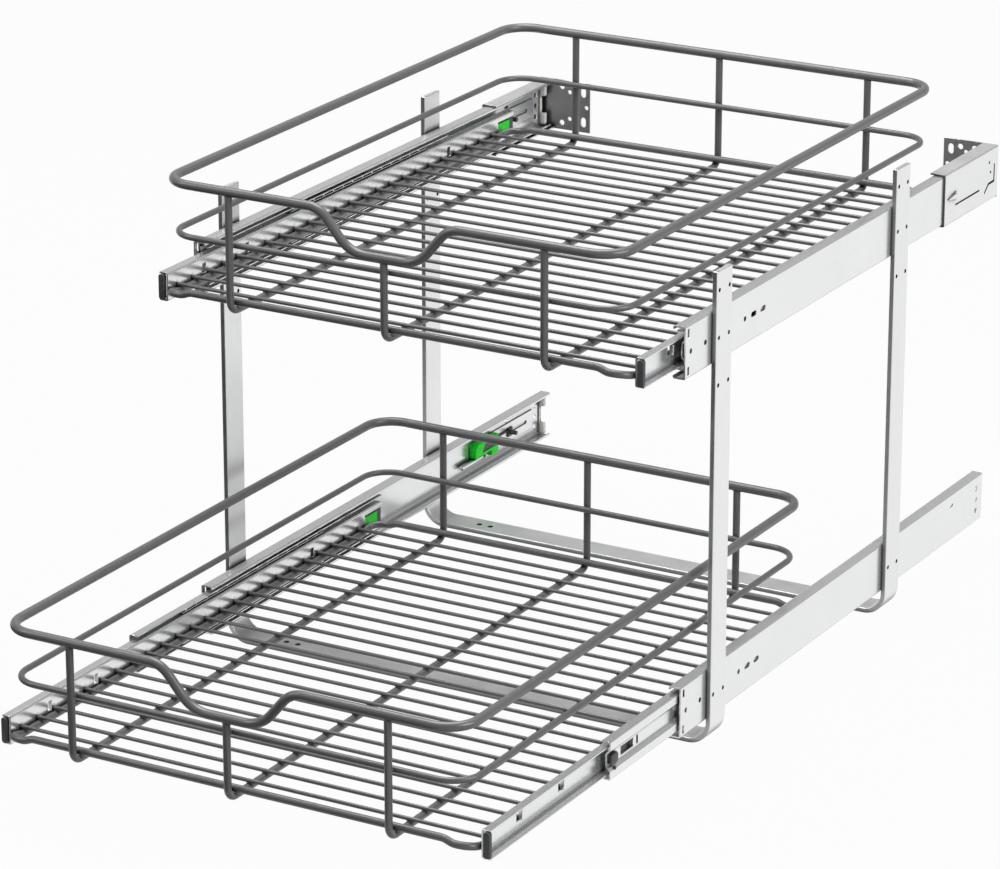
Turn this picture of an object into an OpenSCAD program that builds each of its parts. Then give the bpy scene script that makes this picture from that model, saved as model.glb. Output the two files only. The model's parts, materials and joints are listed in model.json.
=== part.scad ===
// Two-tier pull-out cabinet basket on ball-bearing slides.
// X runs across the cabinet, Y towards its back and Z up. The origin is the centre of the four
// outer floor screws, on the underside of the two floor bars.

/* [Frame] */
// Width over the outsides of the uprights
frame_w = 448; // [400:1:520]
// Distance between the middle lines of the front and rear frames
frame_pitch = 316; // [280:1:360]
// Width of the flat bar
bar_w = 25; // [22:1:32]
// Thickness of the flat bar
bar_t = 4; // [3:0.5:5]
// Outside radius of the bends at the floor
bend_r = 20; // [12:1:26]
// Height of the lower rails above the floor bars
rail_lift = 18; // [12:1:30]
// Height from the lower rails to the upper rails
tier_pitch = 292; // [240:1:340]
// Height step between the rows of rail holes
row_pitch = 38; // [30:1:45]
// Distance between the two holes of a row
row_gauge = 16.5; // [12:0.5:18]
// Diameter of the rail holes
row_hole_d = 3.5; // [3:0.5:5]
// Upright above its top row of holes
top_margin = 15; // [10:1:40]
// Distance between the outer floor screws of one bar
floor_hole_span = 348; // [300:1:370]
// Step from an outer floor screw to the inner one
floor_hole_step = 11; // [9:0.5:20]
// Diameter of the floor screw holes
floor_hole_d = 5; // [3:0.5:6]

/* [Slides] */
// Length of the outer rails
slide_len = 560; // [540:5:620]
// Height of the outer rails
slide_h = 42; // [41:0.5:46]
// Depth of a slide from outer rail to basket
slide_d = 12.7; // [12.4:0.1:14]
// Sheet thickness of the outer and inner rails
rail_t = 1.2; // [1:0.05:1.3]
// How far the outer rails stand in front of the front frame's middle line
slide_lead = 55; // [40:1:70]
// Length of the middle rails
middle_len = 374; // [340:1:378]
// Height of the middle rails
middle_h = 31.6; // [31:0.1:32]
// Sheet thickness of the middle rails
middle_t = 1.1; // [0.9:0.05:1.2]
// How far the closed middle rails lie behind the outer rails' front ends
middle_recess = 34; // [30:1:38]
// Length of the inner rails
inner_len = 545; // [520:1:550]
// Height of the inner rails
inner_h = 23.4; // [23:0.1:24]
// Depth of the inner rails
inner_d = 7.8; // [7.4:0.1:8]
// Diameter of the balls between outer and middle rails
outer_ball_d = 3.6; // [3:0.1:3.8]
// Diameter of the balls between middle and inner rails
inner_ball_d = 2.6; // [2:0.1:2.8]
// Length of the outer ball cages
outer_cage_len = 130; // [110:1:140]
// Length of the inner ball cages
inner_cage_len = 214; // [180:1:216]
// Sheet thickness of the ball cages
cage_t = 0.5; // [0.4:0.05:0.6]
// Number of balls along each side of an outer cage
outer_ball_count = 8; // [4:1:10]
// Number of balls along each side of an inner cage
inner_ball_count = 14; // [6:1:18]

/* [Travel] */
// Travel of a basket from closed to fully out
travel = 540; // [500:5:540]
// How far the upper basket is drawn out
upper_out = 56; // [0:1:500]
// How far the lower basket is drawn out
lower_out = 284; // [0:1:500]

/* [Basket] */
// Depth of the basket between the middle lines of its rim
basket_len = 550; // [535:1:570]
// Distance from the middle line of the rim's sides to the outsides of the slides
rim_side = 20; // [18:1:30]
// Diameter of the rim wire
rim_d = 7.5; // [6:0.5:9]
// Height of the rim above the middle of the slides
rim_rise = 92; // [80:1:120]
// Bend radius of the rim's corners
corner_r = 24; // [15:1:30]
// Width of the finger scoop
scoop_w = 134; // [120:1:160]
// Depth of the finger scoop
scoop_depth = 32; // [26:1:38]
// Steepness of the finger scoop's sides
scoop_angle = 50; // [45:1:60]
// Bend radius at the bottom of the finger scoop
scoop_low_r = 30; // [20:1:32]
// Bend radius at the top of the finger scoop
scoop_top_r = 22; // [15:1:25]
// Diameter of the mid rail wire
mid_d = 5; // [4:0.5:6]
// Height of the mid rail above the middle of the slides
mid_rise = 48; // [40:1:52]
// Diameter of the lengthwise wires
runner_d = 6; // [5:0.5:7]
// Distance from the middle wire to the side lengthwise wires
runner_step = 139; // [120:1:150]
// Bend radius of the lengthwise wires
runner_r = 10; // [8:0.5:12]
// Diameter of the floor frame wire
floor_d = 6; // [5:0.5:7]
// Bend radius of the floor frame's corners
floor_r = 12; // [10:1:26]
// Bend radius where the floor frame dips to the slides
dip_r = 9; // [8:1:20]
// Diameter of the cross wires
cross_d = 3.2; // [2.5:0.1:4]
// Steepness of the floor frame's dips
dip_angle = 40; // [20:1:50]
// Number of cross wires
cross_count = 24; // [20:1:26]
// Depth of the cross wires' undersides below the middle of the slides
floor_drop = 2.1; // [1:0.1:2.4]
// How far the rim stands in front of the bumpers
rim_lead = 14; // [8:1:20]

/* [Rear brackets] */
// Length of the sleeve along the upper rails
bracket_len = 106; // [90:1:130]
// Sheet thickness of the rear brackets
bracket_t = 1.5; // [1.2:0.1:2]
// How far the flange stands behind the rail
bracket_back = 5; // [4:0.5:8]
// Reach of the flange towards the middle
flange_w = 50; // [48:1:60]
// Diameter of the flange's screw holes
flange_hole_d = 5; // [4:0.5:6]

/* [Soft close] */
// Length of the green housings
housing_len = 40; // [36:1:42]
// Distance from the rear of the housings to the rails' rear ends
housing_back = 90; // [88:1:94]
// Diameter of the dampers
damper_d = 5; // [4:0.5:5]
// Travel of the triggers
trigger_travel = 30; // [20:1:32]

/* [Hidden] */
$fn = 48;

steel = "gainsboro";
wire_grey = "dimgray";
green = "limegreen";
cap_grey = "darkslategray";

// Gap left between two wires or pieces that are welded or fixed together
weld_gap = 0.15;
// Gap left between pieces that slide past each other
run_gap = 0.3;
// Overrun of every cut past the face that it opens
cut_over = 1;
// Middle-line bend radius of the sheet rails, and the number of facets in one bend
fold_r = 1.1;
fold_facets = 4;

// Sides of the cabinet, and the two tiers
left = -1;
right = 1;
slide_x = frame_w/2 - bar_t;
lower_z = bar_t + rail_lift + slide_h/2;
upper_z = lower_z + tier_pitch;
front_y = -frame_pitch/2;
rear_y = frame_pitch/2;
rail_front = front_y - slide_lead;
rail_rear = rail_front + slide_len;
frame_top = upper_z + row_pitch + top_margin;

// Outline of a sheet strip, bent along a middle line and given as a cross-section

function unit(v) = v/norm(v);
function left_of(v) = [-v[1], v[0]];
function turned(v, a) = [v[0]*cos(a) - v[1]*sin(a), v[0]*sin(a) + v[1]*cos(a)];
// Angle by which a path turns to the left at point p, coming from a and going to b
function turn_at(a, p, b) = let (d = unit(p - a), e = unit(b - p)) atan2(d[0]*e[1] - d[1]*e[0], d*e);
// Arc of one bend, seen at a sideways distance o from the middle line
function bend_arc(a, p, b, r, o) = let (
    d = unit(p - a), turn = turn_at(a, p, b), s = sign(turn),
    start = p - d*(r*tan(abs(turn)/2)), centre = start + left_of(d)*(s*r))
  [for (i = [0:fold_facets]) centre + turned(left_of(d)*(-s), turn*i/fold_facets)*(r - s*o)];
// One edge of the strip
function strip_edge(p, r, o) = let (n = len(p) - 1) concat(
  [p[0] + left_of(unit(p[1] - p[0]))*o],
  [for (i = [1:n - 1]) each bend_arc(p[i - 1], p[i], p[i + 1], r, o)],
  [p[n] + left_of(unit(p[n] - p[n - 1]))*o]);
function reversed(p) = [for (i = [len(p) - 1:-1:0]) p[i]];
module strip(p, t, r) {
  polygon(concat(strip_edge(p, r, t/2), reversed(strip_edge(p, r, -t/2))));
}

// A wire bent as on a bending bench. Each step is a straight feed, then a roll, then a bend of a
// given angle and middle-line radius. The wire starts along its own Z, and bends towards its own X.
// A step is [feed, bend angle, bend radius, roll].
module wire(d, steps, i = 0) {
  if (i < len(steps)) {
    feed = steps[i][0];
    angle = steps[i][1];
    r = steps[i][2];
    if (feed > 0) cylinder(d = d, h = feed);
    translate([0, 0, feed]) rotate([0, 0, steps[i][3]]) {
      if (angle > 0)
        translate([r, 0, 0]) rotate([90, 0, 0]) rotate([0, 0, 180 - angle])
          rotate_extrude(angle = angle) translate([r, 0]) circle(d = d);
      translate([r, 0, 0]) rotate([0, angle, 0]) translate([-r, 0, 0]) wire(d, steps, i + 1);
    }
  }
}
// A closed wire loop, bent at corners that are given as [place, bend radius]. The sections stand
// square to the path, and each bend has a section at every step of its turn.
loop_sides = 12;
loop_steps = 6;
up = [0, 0, 1];
function bend_path(a, p, b, r) = let (
    d = unit(p - a), e = unit(b - p), turn = acos(d*e), m = unit(e - d*(d*e)),
    centre = p - d*(r*tan(turn/2)) + m*r)
  [for (i = [0:loop_steps]) let (k = turn*i/loop_steps)
    [centre + d*(r*sin(k)) - m*(r*cos(k)), d*cos(k) + m*sin(k)]];
function loop_path(c) = let (n = len(c))
  [for (i = [0:n - 1]) each bend_path(c[(i + n - 1)%n][0], c[i][0], c[(i + 1)%n][0], c[i][1])];
module wire_loop(d, corners) {
  path = loop_path(corners);
  n = len(path);
  points = [for (q = path) let (side = unit(cross(q[1], up)), top = cross(side, q[1]))
    for (i = [0:loop_sides - 1]) let (k = 360*i/loop_sides)
      q[0] + side*(cos(k)*d/2) + top*(sin(k)*d/2)];
  faces = [for (k = [0:n - 1], i = [0:loop_sides - 1]) let (
      a = k*loop_sides + i, b = k*loop_sides + (i + 1)%loop_sides,
      c = ((k + 1)%n)*loop_sides + (i + 1)%loop_sides, e = ((k + 1)%n)*loop_sides + i)
    each [[a, b, c], [a, c, e]]];
  polyhedron(points, faces);
}
// Corners on one half, then the same corners on the other half in return order
function mirrored(p) = [-p[0], p[1], p[2]];
function with_mirror(c) = concat(c, [for (i = [len(c) - 1:-1:0]) [mirrored(c[i][0]), c[i][1]]]);
// Lays a wire that starts along +X and first bends towards +Y
module from_middle(y, z) {
  translate([0, y, z]) rotate([0, 90, 0]) rotate([0, 0, 90]) children();
}
module both_halves() {
  children();
  mirror([1, 0, 0]) children();
}

// Slides. A slide's own coordinates are u, inwards from the outer rail's outside, y, and v, up from
// its middle line.

module at_slide(side, z) {
  translate([side*slide_x, 0, z]) mirror([side > 0 ? 1 : 0, 0, 0]) children();
}
// Carries a cross-section in u and v along y, from y1 over a length
module along_y(y1, length) {
  translate([0, y1 + length, 0]) rotate([90, 0, 0]) linear_extrude(length) children();
}
// Box between two corners
module block(a, b) {
  translate(a) cube(b - a);
}
// Round hole or pin along u
module u_pin(y, v, d, u1, u2) {
  translate([u1, y, v]) rotate([0, 90, 0]) cylinder(d = d, h = u2 - u1);
}
// Plate with an outline in y and v, between two depths
module side_plate(points, u1, u2) {
  translate([u1, 0, 0]) rotate([90, 0, 90]) linear_extrude(u2 - u1) polygon(points);
}
// Slot through a web, long along y
module y_slot(y, v, length, d, u1, u2) {
  u_pin(y, v, d, u1, u2);
  u_pin(y + length - d, v, d, u1, u2);
  block([u1, y, v - d/2], [u2, y + length - d, v + d/2]);
}

// Depths of the three rails
outer_lip = 10.7;
outer_hook = 2.1;
middle_u = 2.4;
middle_lip = 10.4;
// The middle rail's web stands further in between these heights, like a hat
hat_depth = 3.4;
hat_flat = 10.6;
hat_foot = 17.2;
inner_u = slide_d - inner_d;
race_outer_v = (slide_h/2 - rail_t + middle_h/2)/2;
race_inner_v = (middle_h/2 - middle_t + inner_h/2)/2;
race_outer_u = 6.4;
race_inner_u = (inner_u + slide_d - rail_t)/2;

// Holes of the outer rail, measured from its front and rear ends
front_slot_y = 5;
front_slot_v = 15;
front_slot_h = 6.5;
front_slot_w = 3;
rail_hole_d = 4.2;
rail_hole_share = [0.0155, 0.0575, 0.175];
rail_slot_share = [0.197, 0.225];
rail_slot_len = 9;
rear_hole_y = 12;
rear_square = 4;
rear_square_v = 10;
rear_slot_y = 66;
rear_slot_v = 11;
rear_slot_len = 7;
rear_slot_d = 2.4;

module outer_profile() {
  e = rail_t/2;
  top = slide_h/2 - e;
  strip([[outer_lip - e, top - outer_hook], [outer_lip - e, top], [e, top],
    [e, -top], [outer_lip - e, -top], [outer_lip - e, outer_hook - top]], rail_t, fold_r);
}
module outer_rail_cuts() {
  u1 = -cut_over;
  u2 = rail_t + cut_over;
  for (s = [-1, 1])
    block([u1, rail_front + front_slot_y - front_slot_w/2, s*front_slot_v - front_slot_h/2],
      [u2, rail_front + front_slot_y + front_slot_w/2, s*front_slot_v + front_slot_h/2]);
  for (k = rail_hole_share) u_pin(rail_front + k*slide_len, 0, rail_hole_d, u1, u2);
  for (k = rail_slot_share) y_slot(rail_front + k*slide_len, 0, rail_slot_len, rail_hole_d, u1, u2);
  for (y = [front_y, rear_y], s = [-1, 1]) {
    u_pin(y + s*row_gauge/2, 0, row_hole_d, u1, u2);
    countersink(y + s*row_gauge/2, 0, cut_over/2);
  }
  u_pin(rail_rear - rear_hole_y, 0, rail_hole_d, u1, u2);
  for (s = [-1, 1])
    block([u1, rail_rear - rear_hole_y - rear_square/2, s*rear_square_v - rear_square/2],
      [u2, rail_rear - rear_hole_y + rear_square/2, s*rear_square_v + rear_square/2]);
  y_slot(rail_rear - rear_slot_y, rear_slot_v, rear_slot_len, rear_slot_d, u1, u2);
}
module outer_rail(side, z) {
  color(steel) at_slide(side, z) difference() {
    along_y(rail_front, slide_len) outer_profile();
    outer_rail_cuts();
  }
}

// Middle rail, with its latch block, window and slot near the front end
latch_y = 2;
latch_len = 11;
latch_h = 9;
latch_u = 2.7;
latch_pin_d = 2;
window_y = 22;
window_len = 20;
window_h = 7;
tie_slot_y = 47;
tie_slot_w = 3;

function middle_front(out) = rail_front + middle_recess - out/2;
module middle_profile() {
  e = middle_t/2;
  top = middle_h/2 - e;
  web = middle_u + e;
  strip([[middle_lip, top], [web, top], [web, hat_foot/2], [web + hat_depth, hat_flat/2],
    [web + hat_depth, -hat_flat/2], [web, -hat_foot/2], [web, -top], [middle_lip, -top]],
    middle_t, fold_r);
}
module middle_rail(side, z, out) {
  y = middle_front(out);
  u1 = middle_u + hat_depth - cut_over;
  u2 = middle_u + hat_depth + middle_t + cut_over;
  color(steel) at_slide(side, z) difference() {
    along_y(y, middle_len) middle_profile();
    block([u1, y + window_y, -window_h/2], [u2, y + window_y + window_len, window_h/2]);
    block([u1, y + tie_slot_y, -window_h/2], [u2, y + tie_slot_y + tie_slot_w, window_h/2]);
    u_pin(y + latch_y + latch_len/2, 0, latch_pin_d + 2*weld_gap, u1, u2);
  }
}
// Latch block in the hat of the middle rail, held by a pin through the web
module latch_block(side, z, out) {
  y = middle_front(out) + latch_y;
  back = middle_u + hat_depth - weld_gap;
  color(cap_grey) at_slide(side, z) {
    block([latch_u, y, -latch_h/2], [back, y + latch_len, latch_h/2]);
    u_pin(y + latch_len/2, 0, latch_pin_d, back, back + weld_gap + middle_t);
  }
}

// Inner rail, with windows and their bent hooks, two of them near the front end
hook_share = [0.09, 0.205, 0.79];
hook_len = 5;
hook_h = 8;
hook_v = 2;
hook_bend = 2.2;
// Notch in the web at the rear end, open to the catch behind it
notch_len = 27;
notch_h = 14;

bumper_t = 2;
function bumper_front(out) = rail_front - bumper_t - out;
function inner_front(out) = rail_front - out;
module inner_profile() {
  e = rail_t/2;
  top = inner_h/2 - e;
  strip([[inner_u, top], [slide_d - e, top], [slide_d - e, -top], [inner_u, -top]], rail_t, fold_r);
}
module inner_rail(side, z, out) {
  y = inner_front(out);
  color(steel) at_slide(side, z) {
    difference() {
      along_y(y, inner_len) inner_profile();
      for (k = hook_share)
        block([slide_d - rail_t - cut_over, y + k*inner_len, hook_v - hook_h/2],
          [slide_d + cut_over, y + k*inner_len + hook_len, hook_v + hook_h/2]);
      block([slide_d - rail_t - cut_over, y + inner_len - notch_len, -notch_h/2],
        [slide_d + cut_over, y + inner_len + cut_over, notch_h/2]);
    }
    for (k = hook_share)
      block([slide_d - rail_t - hook_bend, y + k*inner_len + hook_len, hook_v - hook_h/2],
        [slide_d - rail_t, y + k*inner_len + hook_len + rail_t, hook_v + hook_h/2]);
  }
}
// Soft cap in the mouth of an inner rail's channel, proud of the rail's front end
plug_len = 2;
cap_room = 1.4;
module bumper(side, z, out) {
  y = inner_front(out);
  plug_v = inner_h/2 - rail_t - weld_gap;
  color(cap_grey) at_slide(side, z)
    block([inner_u, y - bumper_t, -plug_v], [slide_d - rail_t - cap_room, y + plug_len, plug_v]);
}

// Ball cages. The outer cage moves at a quarter of the basket's way, the inner one at three
// quarters, so that the balls roll. Both stay between their rails from closed to fully out.

outer_cage_front = rail_front + (travel/4 - weld_gap) + run_gap;
inner_cage_front = rail_front + middle_recess + travel/4 + run_gap;
cage_web_u = (rail_t + middle_u)/2;
// Room around a ball in its hole, and sheet left beyond the hole
ball_room = 0.2;
cage_rim = 0.8;
outer_arm = race_outer_u + outer_ball_d/2 + ball_room + cage_rim;
inner_arm = race_inner_u + inner_ball_d/2 + ball_room + cage_rim;
inner_cage_u = inner_u - run_gap - cage_t/2;
module outer_cage_profile() {
  strip([[outer_arm, race_outer_v], [cage_web_u, race_outer_v],
    [cage_web_u, -race_outer_v], [outer_arm, -race_outer_v]], cage_t, cage_t);
}
// Height of a line that runs beside the hat's slope with a running gap, at depth u
hat_slope = (hat_foot - hat_flat)/2/hat_depth;
function beside_hat(u) = hat_foot/2 - (u - middle_u - middle_t/2)*hat_slope
  + (middle_t/2 + run_gap + cage_t/2)*sqrt(1 + hat_slope*hat_slope);
module inner_cage_profile() {
  web = middle_u + middle_t + hat_depth + run_gap + cage_t/2;
  foot = beside_hat(inner_cage_u);
  flat = beside_hat(web);
  strip([[inner_arm, race_inner_v], [inner_cage_u, race_inner_v], [inner_cage_u, foot],
    [web, flat], [web, -flat], [inner_cage_u, -foot],
    [inner_cage_u, -race_inner_v], [inner_arm, -race_inner_v]], cage_t, cage_t);
}
// Places of the balls along a cage
function ball_places(length, count) = [for (i = [0:count - 1]) length*(i + 0.5)/count];
module cage(y, length, count, u, v, d) {
  difference() {
    along_y(y, length) children();
    for (p = ball_places(length, count), s = [-1, 1])
      translate([u, y + p, s*v - d/2]) cylinder(d = d + 2*ball_room, h = d);
  }
}
module balls(y, length, count, u, v, d) {
  for (p = ball_places(length, count), s = [-1, 1]) translate([u, y + p, s*v]) sphere(d = d);
}
module outer_cage(side, z, out) {
  color(steel) at_slide(side, z)
    cage(outer_cage_front - out/4, outer_cage_len, outer_ball_count, race_outer_u, race_outer_v,
      outer_ball_d) outer_cage_profile();
}
module inner_cage(side, z, out) {
  color(steel) at_slide(side, z)
    cage(inner_cage_front - out*3/4, inner_cage_len, inner_ball_count, race_inner_u, race_inner_v,
      inner_ball_d) inner_cage_profile();
}
module outer_balls(side, z, out) {
  color(steel) at_slide(side, z)
    balls(outer_cage_front - out/4, outer_cage_len, outer_ball_count, race_outer_u, race_outer_v,
      outer_ball_d);
}
module inner_balls(side, z, out) {
  color(steel) at_slide(side, z)
    balls(inner_cage_front - out*3/4, inner_cage_len, inner_ball_count, race_inner_u, race_inner_v,
      inner_ball_d);
}

// Soft close. The housing, its base and the damper sit in the outer rail behind the closed middle
// rail, inside the space that the inner rail's channel leaves.

housing_u = 8.6;
housing_h = 18;
housing_nose = 12;
shuttle_v = 2.2;
shuttle_h = 6;
shuttle_u = 7.9;
shuttle_len = 24;
shuttle_slant = 4;
link_h = 1.6;
base_t = 1;
base_h = 17;
base_end = 18;
slot_h = 3.4;
trigger_len = 8;
trigger_h = 8;
peg_d = 4;
catch_wall = 2;
catch_gap = 7;
catch_low = 8.8;
catch_head = 20;
catch_place = 8;
holder_len = 45;
stop_t = 4;
stop_h = 36;
stop_u = 7;
stop_foot = 1;
stop_window = 16;

holder_top = slide_d - rail_t - weld_gap;
peg_top = holder_top - base_t - run_gap;
housing_y = rail_rear - housing_back - housing_len;
damper_v = damper_d/2 - housing_h/2;
damper_u = rail_t + weld_gap + damper_d/2 + base_t;
trigger_y = rail_rear - base_end - trigger_travel - 2*trigger_len;
base_u = rail_t + weld_gap;

module housing(side, z) {
  y2 = housing_y + housing_len;
  notch_v = damper_v + damper_d/2 + weld_gap;
  low = shuttle_v - shuttle_h/2 - run_gap;
  high = shuttle_v + shuttle_h/2 + run_gap;
  nose = housing_y + housing_nose;
  color(green) at_slide(side, z) difference() {
    along_y(housing_y, housing_len)
      polygon([[base_u, -housing_h/2], [housing_u - fold_r, -housing_h/2],
        [housing_u, fold_r - housing_h/2], [housing_u, housing_h/2 - fold_r],
        [housing_u - fold_r, housing_h/2], [base_u, housing_h/2]]);
    // Way for the damper along the lower edge, and for the link and the shuttle
    block([base_u + base_t, housing_y - cut_over, -housing_h/2 - cut_over],
      [housing_u + cut_over, y2 - housing_nose, notch_v]);
    side_plate([[nose, low], [y2 + cut_over, low], [y2 + cut_over, high],
      [nose + shuttle_slant, high]], base_u + base_t, housing_u + cut_over);
    // Lead-in slope on the upper front edge
    side_plate([[housing_y - cut_over, housing_h/2 - housing_nose/2], [housing_y + housing_nose/2,
      housing_h/2 + cut_over], [housing_y - cut_over, housing_h/2 + cut_over]],
      base_u + base_t, housing_u + cut_over);
  }
}
module soft_close_base(side, z) {
  y1 = housing_y + housing_len + weld_gap;
  y2 = rail_rear - base_end;
  color(steel) at_slide(side, z) difference() {
    block([base_u, y1, -base_h/2], [base_u + base_t, y2, base_h/2]);
    y_slot(trigger_y + trigger_len/2, 0, trigger_travel + slot_h, slot_h,
      base_u - cut_over, base_u + base_t + cut_over);
  }
}
module damper(side, z) {
  y = housing_y - housing_len/2;
  rod_d = damper_d/2;
  color("silver") at_slide(side, z)
    translate([damper_u, y, damper_v]) rotate([-90, 0, 0]) {
      cylinder(d = damper_d, h = housing_len);
      translate([0, 0, housing_len]) cylinder(d = rod_d, h = housing_nose/2 - weld_gap);
    }
}
// Black trigger: a shuttle in the housing, a thin link, and a carriage with the peg for the catch
module trigger(side, z) {
  u1 = base_u + base_t + weld_gap;
  u2 = u1 + base_t + run_gap;
  mid = trigger_y + trigger_len/2;
  nose = housing_y + housing_nose + 2*run_gap;
  low = shuttle_v - shuttle_h/2;
  high = shuttle_v + shuttle_h/2;
  color("black") at_slide(side, z) {
    side_plate([[nose, low], [nose + shuttle_len - shuttle_slant, low],
      [nose + shuttle_len, high], [nose + shuttle_slant, high]], u1, shuttle_u);
    block([u1, nose + shuttle_len/2, shuttle_v - link_h/2], [u2, trigger_y + trigger_len/2,
      shuttle_v + link_h/2]);
    block([u1, trigger_y, -trigger_h/2], [u2, trigger_y + trigger_len, trigger_h/2]);
    u_pin(mid, 0, slot_h - 2*run_gap, base_u, u1);
    u_pin(mid, 0, peg_d, u2, peg_top);
  }
}
// Catch at the rear end of an inner rail: a black holder in the rail's channel, and a green head
// behind the notch of the web. The trigger's peg passes along the groove of both.
module catch_holder(side, z, out) {
  y = inner_front(out) + inner_len - holder_len + rail_t;
  half = inner_h/2 - rail_t - weld_gap;
  color("black") at_slide(side, z) difference() {
    block([catch_low, y, -half], [holder_top, y + holder_len, half]);
    block([catch_low - cut_over, y - cut_over, -catch_gap/2],
      [holder_top - base_t, y + holder_len + cut_over, catch_gap/2]);
    block([catch_low - cut_over, y + holder_len - catch_place - catch_head - weld_gap,
      -catch_gap/2 - catch_wall - weld_gap],
      [holder_top + cut_over, y + holder_len - catch_place + weld_gap,
      catch_gap/2 + catch_wall + weld_gap]);
  }
}
module catch(side, z, out) {
  y = inner_front(out) + inner_len - holder_len + rail_t + holder_len - catch_place - catch_head;
  color(green) at_slide(side, z) difference() {
    block([catch_low, y, -catch_gap/2 - catch_wall],
      [slide_d - weld_gap, y + catch_head, catch_gap/2 + catch_wall]);
    block([catch_low - cut_over, y - cut_over, -catch_gap/2],
      [holder_top - base_t, y + catch_head + cut_over, catch_gap/2]);
  }
}
// Stop across the rear end of an outer rail
module rear_stop(side, z) {
  y = rail_rear - stop_t - rail_t;
  u1 = rail_t + weld_gap;
  color("whitesmoke") at_slide(side, z) difference() {
    block([u1, y, -stop_h/2], [stop_u, y + stop_t, stop_h/2]);
    block([u1 + stop_foot, y - cut_over, -stop_window/2], [stop_u + cut_over, y + stop_t + cut_over,
      stop_window/2]);
  }
}

// Rear bracket. A sleeve over the top, outside and bottom of the upper rail, and a flange that
// turns inwards behind it for the cabinet's back.

sleeve_room = 0.2;
sleeve_lip = 12.4;
slot_line_v = -8;
slot_line_d = 1.6;
slot_line_share = [0.2, 0.66];
step_slot_w = 2;
step_share = [0.756, 0.826, 0.93, 0.93];
step_v = [-13, -7, -7, 7.4];
hole_share = [0.83, 0.86];
hole_v = [11.6, 2.5];
bracket_hole_d = 2.6;
mark_share = [0.05, 0.2, 0.22];
mark_v = [0, 4, -2];
mark_rise = 0.8;
flange_screw_step = 13;
flange_screw_v = 16.5;
flange_screw_u = 21.5;
// Smaller holes and slots of the flange, as shares of its width and height from its outer side
slot_place_share = [0.865, 0.3];
slot_h_share = 0.2;
small_place_share = [[0.585, 0.27], [0.585, -0.27], [0.925, 0]];
small_hole_d = 4;
module bracket_sleeve_profile() {
  e = bracket_t/2;
  v = slide_h/2 + sleeve_room + e;
  u = -sleeve_room - e;
  strip([[sleeve_lip, v], [u, v], [u, -v], [sleeve_lip, -v]], bracket_t, fold_r);
}
module flange_hole(y, u, v, d) {
  translate([u, y - bracket_t - cut_over, v]) rotate([-90, 0, 0])
    cylinder(d = d, h = bracket_t + 2*cut_over);
}
module rear_bracket(side) {
  y1 = rail_rear + bracket_back - bracket_len;
  y2 = rail_rear + bracket_back;
  half = slide_h/2 + sleeve_room + bracket_t;
  u1 = -sleeve_room - bracket_t;
  cut1 = u1 - cut_over;
  cut2 = cut_over/2;
  color(steel) at_slide(side, upper_z) {
    difference() {
      union() {
        along_y(y1, bracket_len - bracket_t) bracket_sleeve_profile();
        block([u1, y2 - bracket_t, -half], [flange_w + u1, y2, half]);
      }
      // Long thin slot and stepped slot in the outer face
      y_slot(y1 + slot_line_share[0]*bracket_len, slot_line_v,
        (slot_line_share[1] - slot_line_share[0])*bracket_len, slot_line_d, cut1, cut2);
      for (i = [0:2]) hull() {
        u_pin(y1 + step_share[i]*bracket_len, step_v[i], step_slot_w, cut1, cut2);
        u_pin(y1 + step_share[i + 1]*bracket_len, step_v[i + 1], step_slot_w, cut1, cut2);
      }
      for (i = [0, 1]) u_pin(y1 + hole_share[i]*bracket_len, hole_v[i], bracket_hole_d, cut1, cut2);
      // Screw holes in the flange
      for (s = [-1, 1], k = [0, 1])
        flange_hole(y2, u1 + flange_screw_u + k*flange_screw_step, s*flange_screw_v, flange_hole_d);
      for (p = small_place_share)
        flange_hole(y2, u1 + p[0]*flange_w, p[1]*2*half, small_hole_d);
      for (s = [-1, 1]) {
        u = u1 + slot_place_share[0]*flange_w;
        v = s*slot_place_share[1]*2*half;
        reach = slot_h_share*half - flange_hole_d/2;
        for (k = [-1, 1]) flange_hole(y2, u, v + k*reach, flange_hole_d);
        block([u - flange_hole_d/2, y2 - bracket_t - cut_over, v - reach],
          [u + flange_hole_d/2, y2 + cut_over, v + reach]);
      }
    }
    // Pressed arrow that points to the front
    rotate([0, -90, 0]) translate([0, y1, -u1]) linear_extrude(mark_rise)
      polygon([for (i = [0:2]) [mark_v[i], mark_share[i]*bracket_len]]);
  }
}

// Frames and rivets

module u_frame(y) {
  half = frame_w/2;
  rows = concat([lower_z], [for (k = [-1:1]) upper_z + k*row_pitch]);
  color(steel) difference() {
    union() {
      block([bend_r - half, y - bar_w/2, 0], [half - bend_r, y + bar_w/2, bar_t]);
      both_halves() {
        block([half - bar_t, y - bar_w/2, bend_r], [half, y + bar_w/2, frame_top]);
        translate([half - bend_r, y + bar_w/2, bend_r]) rotate([90, 0, 0]) difference() {
          intersection() {
            cylinder(r = bend_r, h = bar_w);
            translate([0, -bend_r, 0]) cube([bend_r, bend_r, bar_w]);
          }
          translate([0, 0, -cut_over]) cylinder(r = bend_r - bar_t, h = bar_w + 2*cut_over);
        }
      }
    }
    for (side = [left, right], s = [-1, 1], z = rows)
      at_slide(side, z) u_pin(y + s*row_gauge/2, 0, row_hole_d, -bar_t - cut_over, cut_over);
    for (side = [left, right], k = [0, 1])
      translate([side*(floor_hole_span/2 - k*floor_hole_step), y, -cut_over])
        cylinder(d = floor_hole_d, h = bar_t + 2*cut_over);
  }
}
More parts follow.
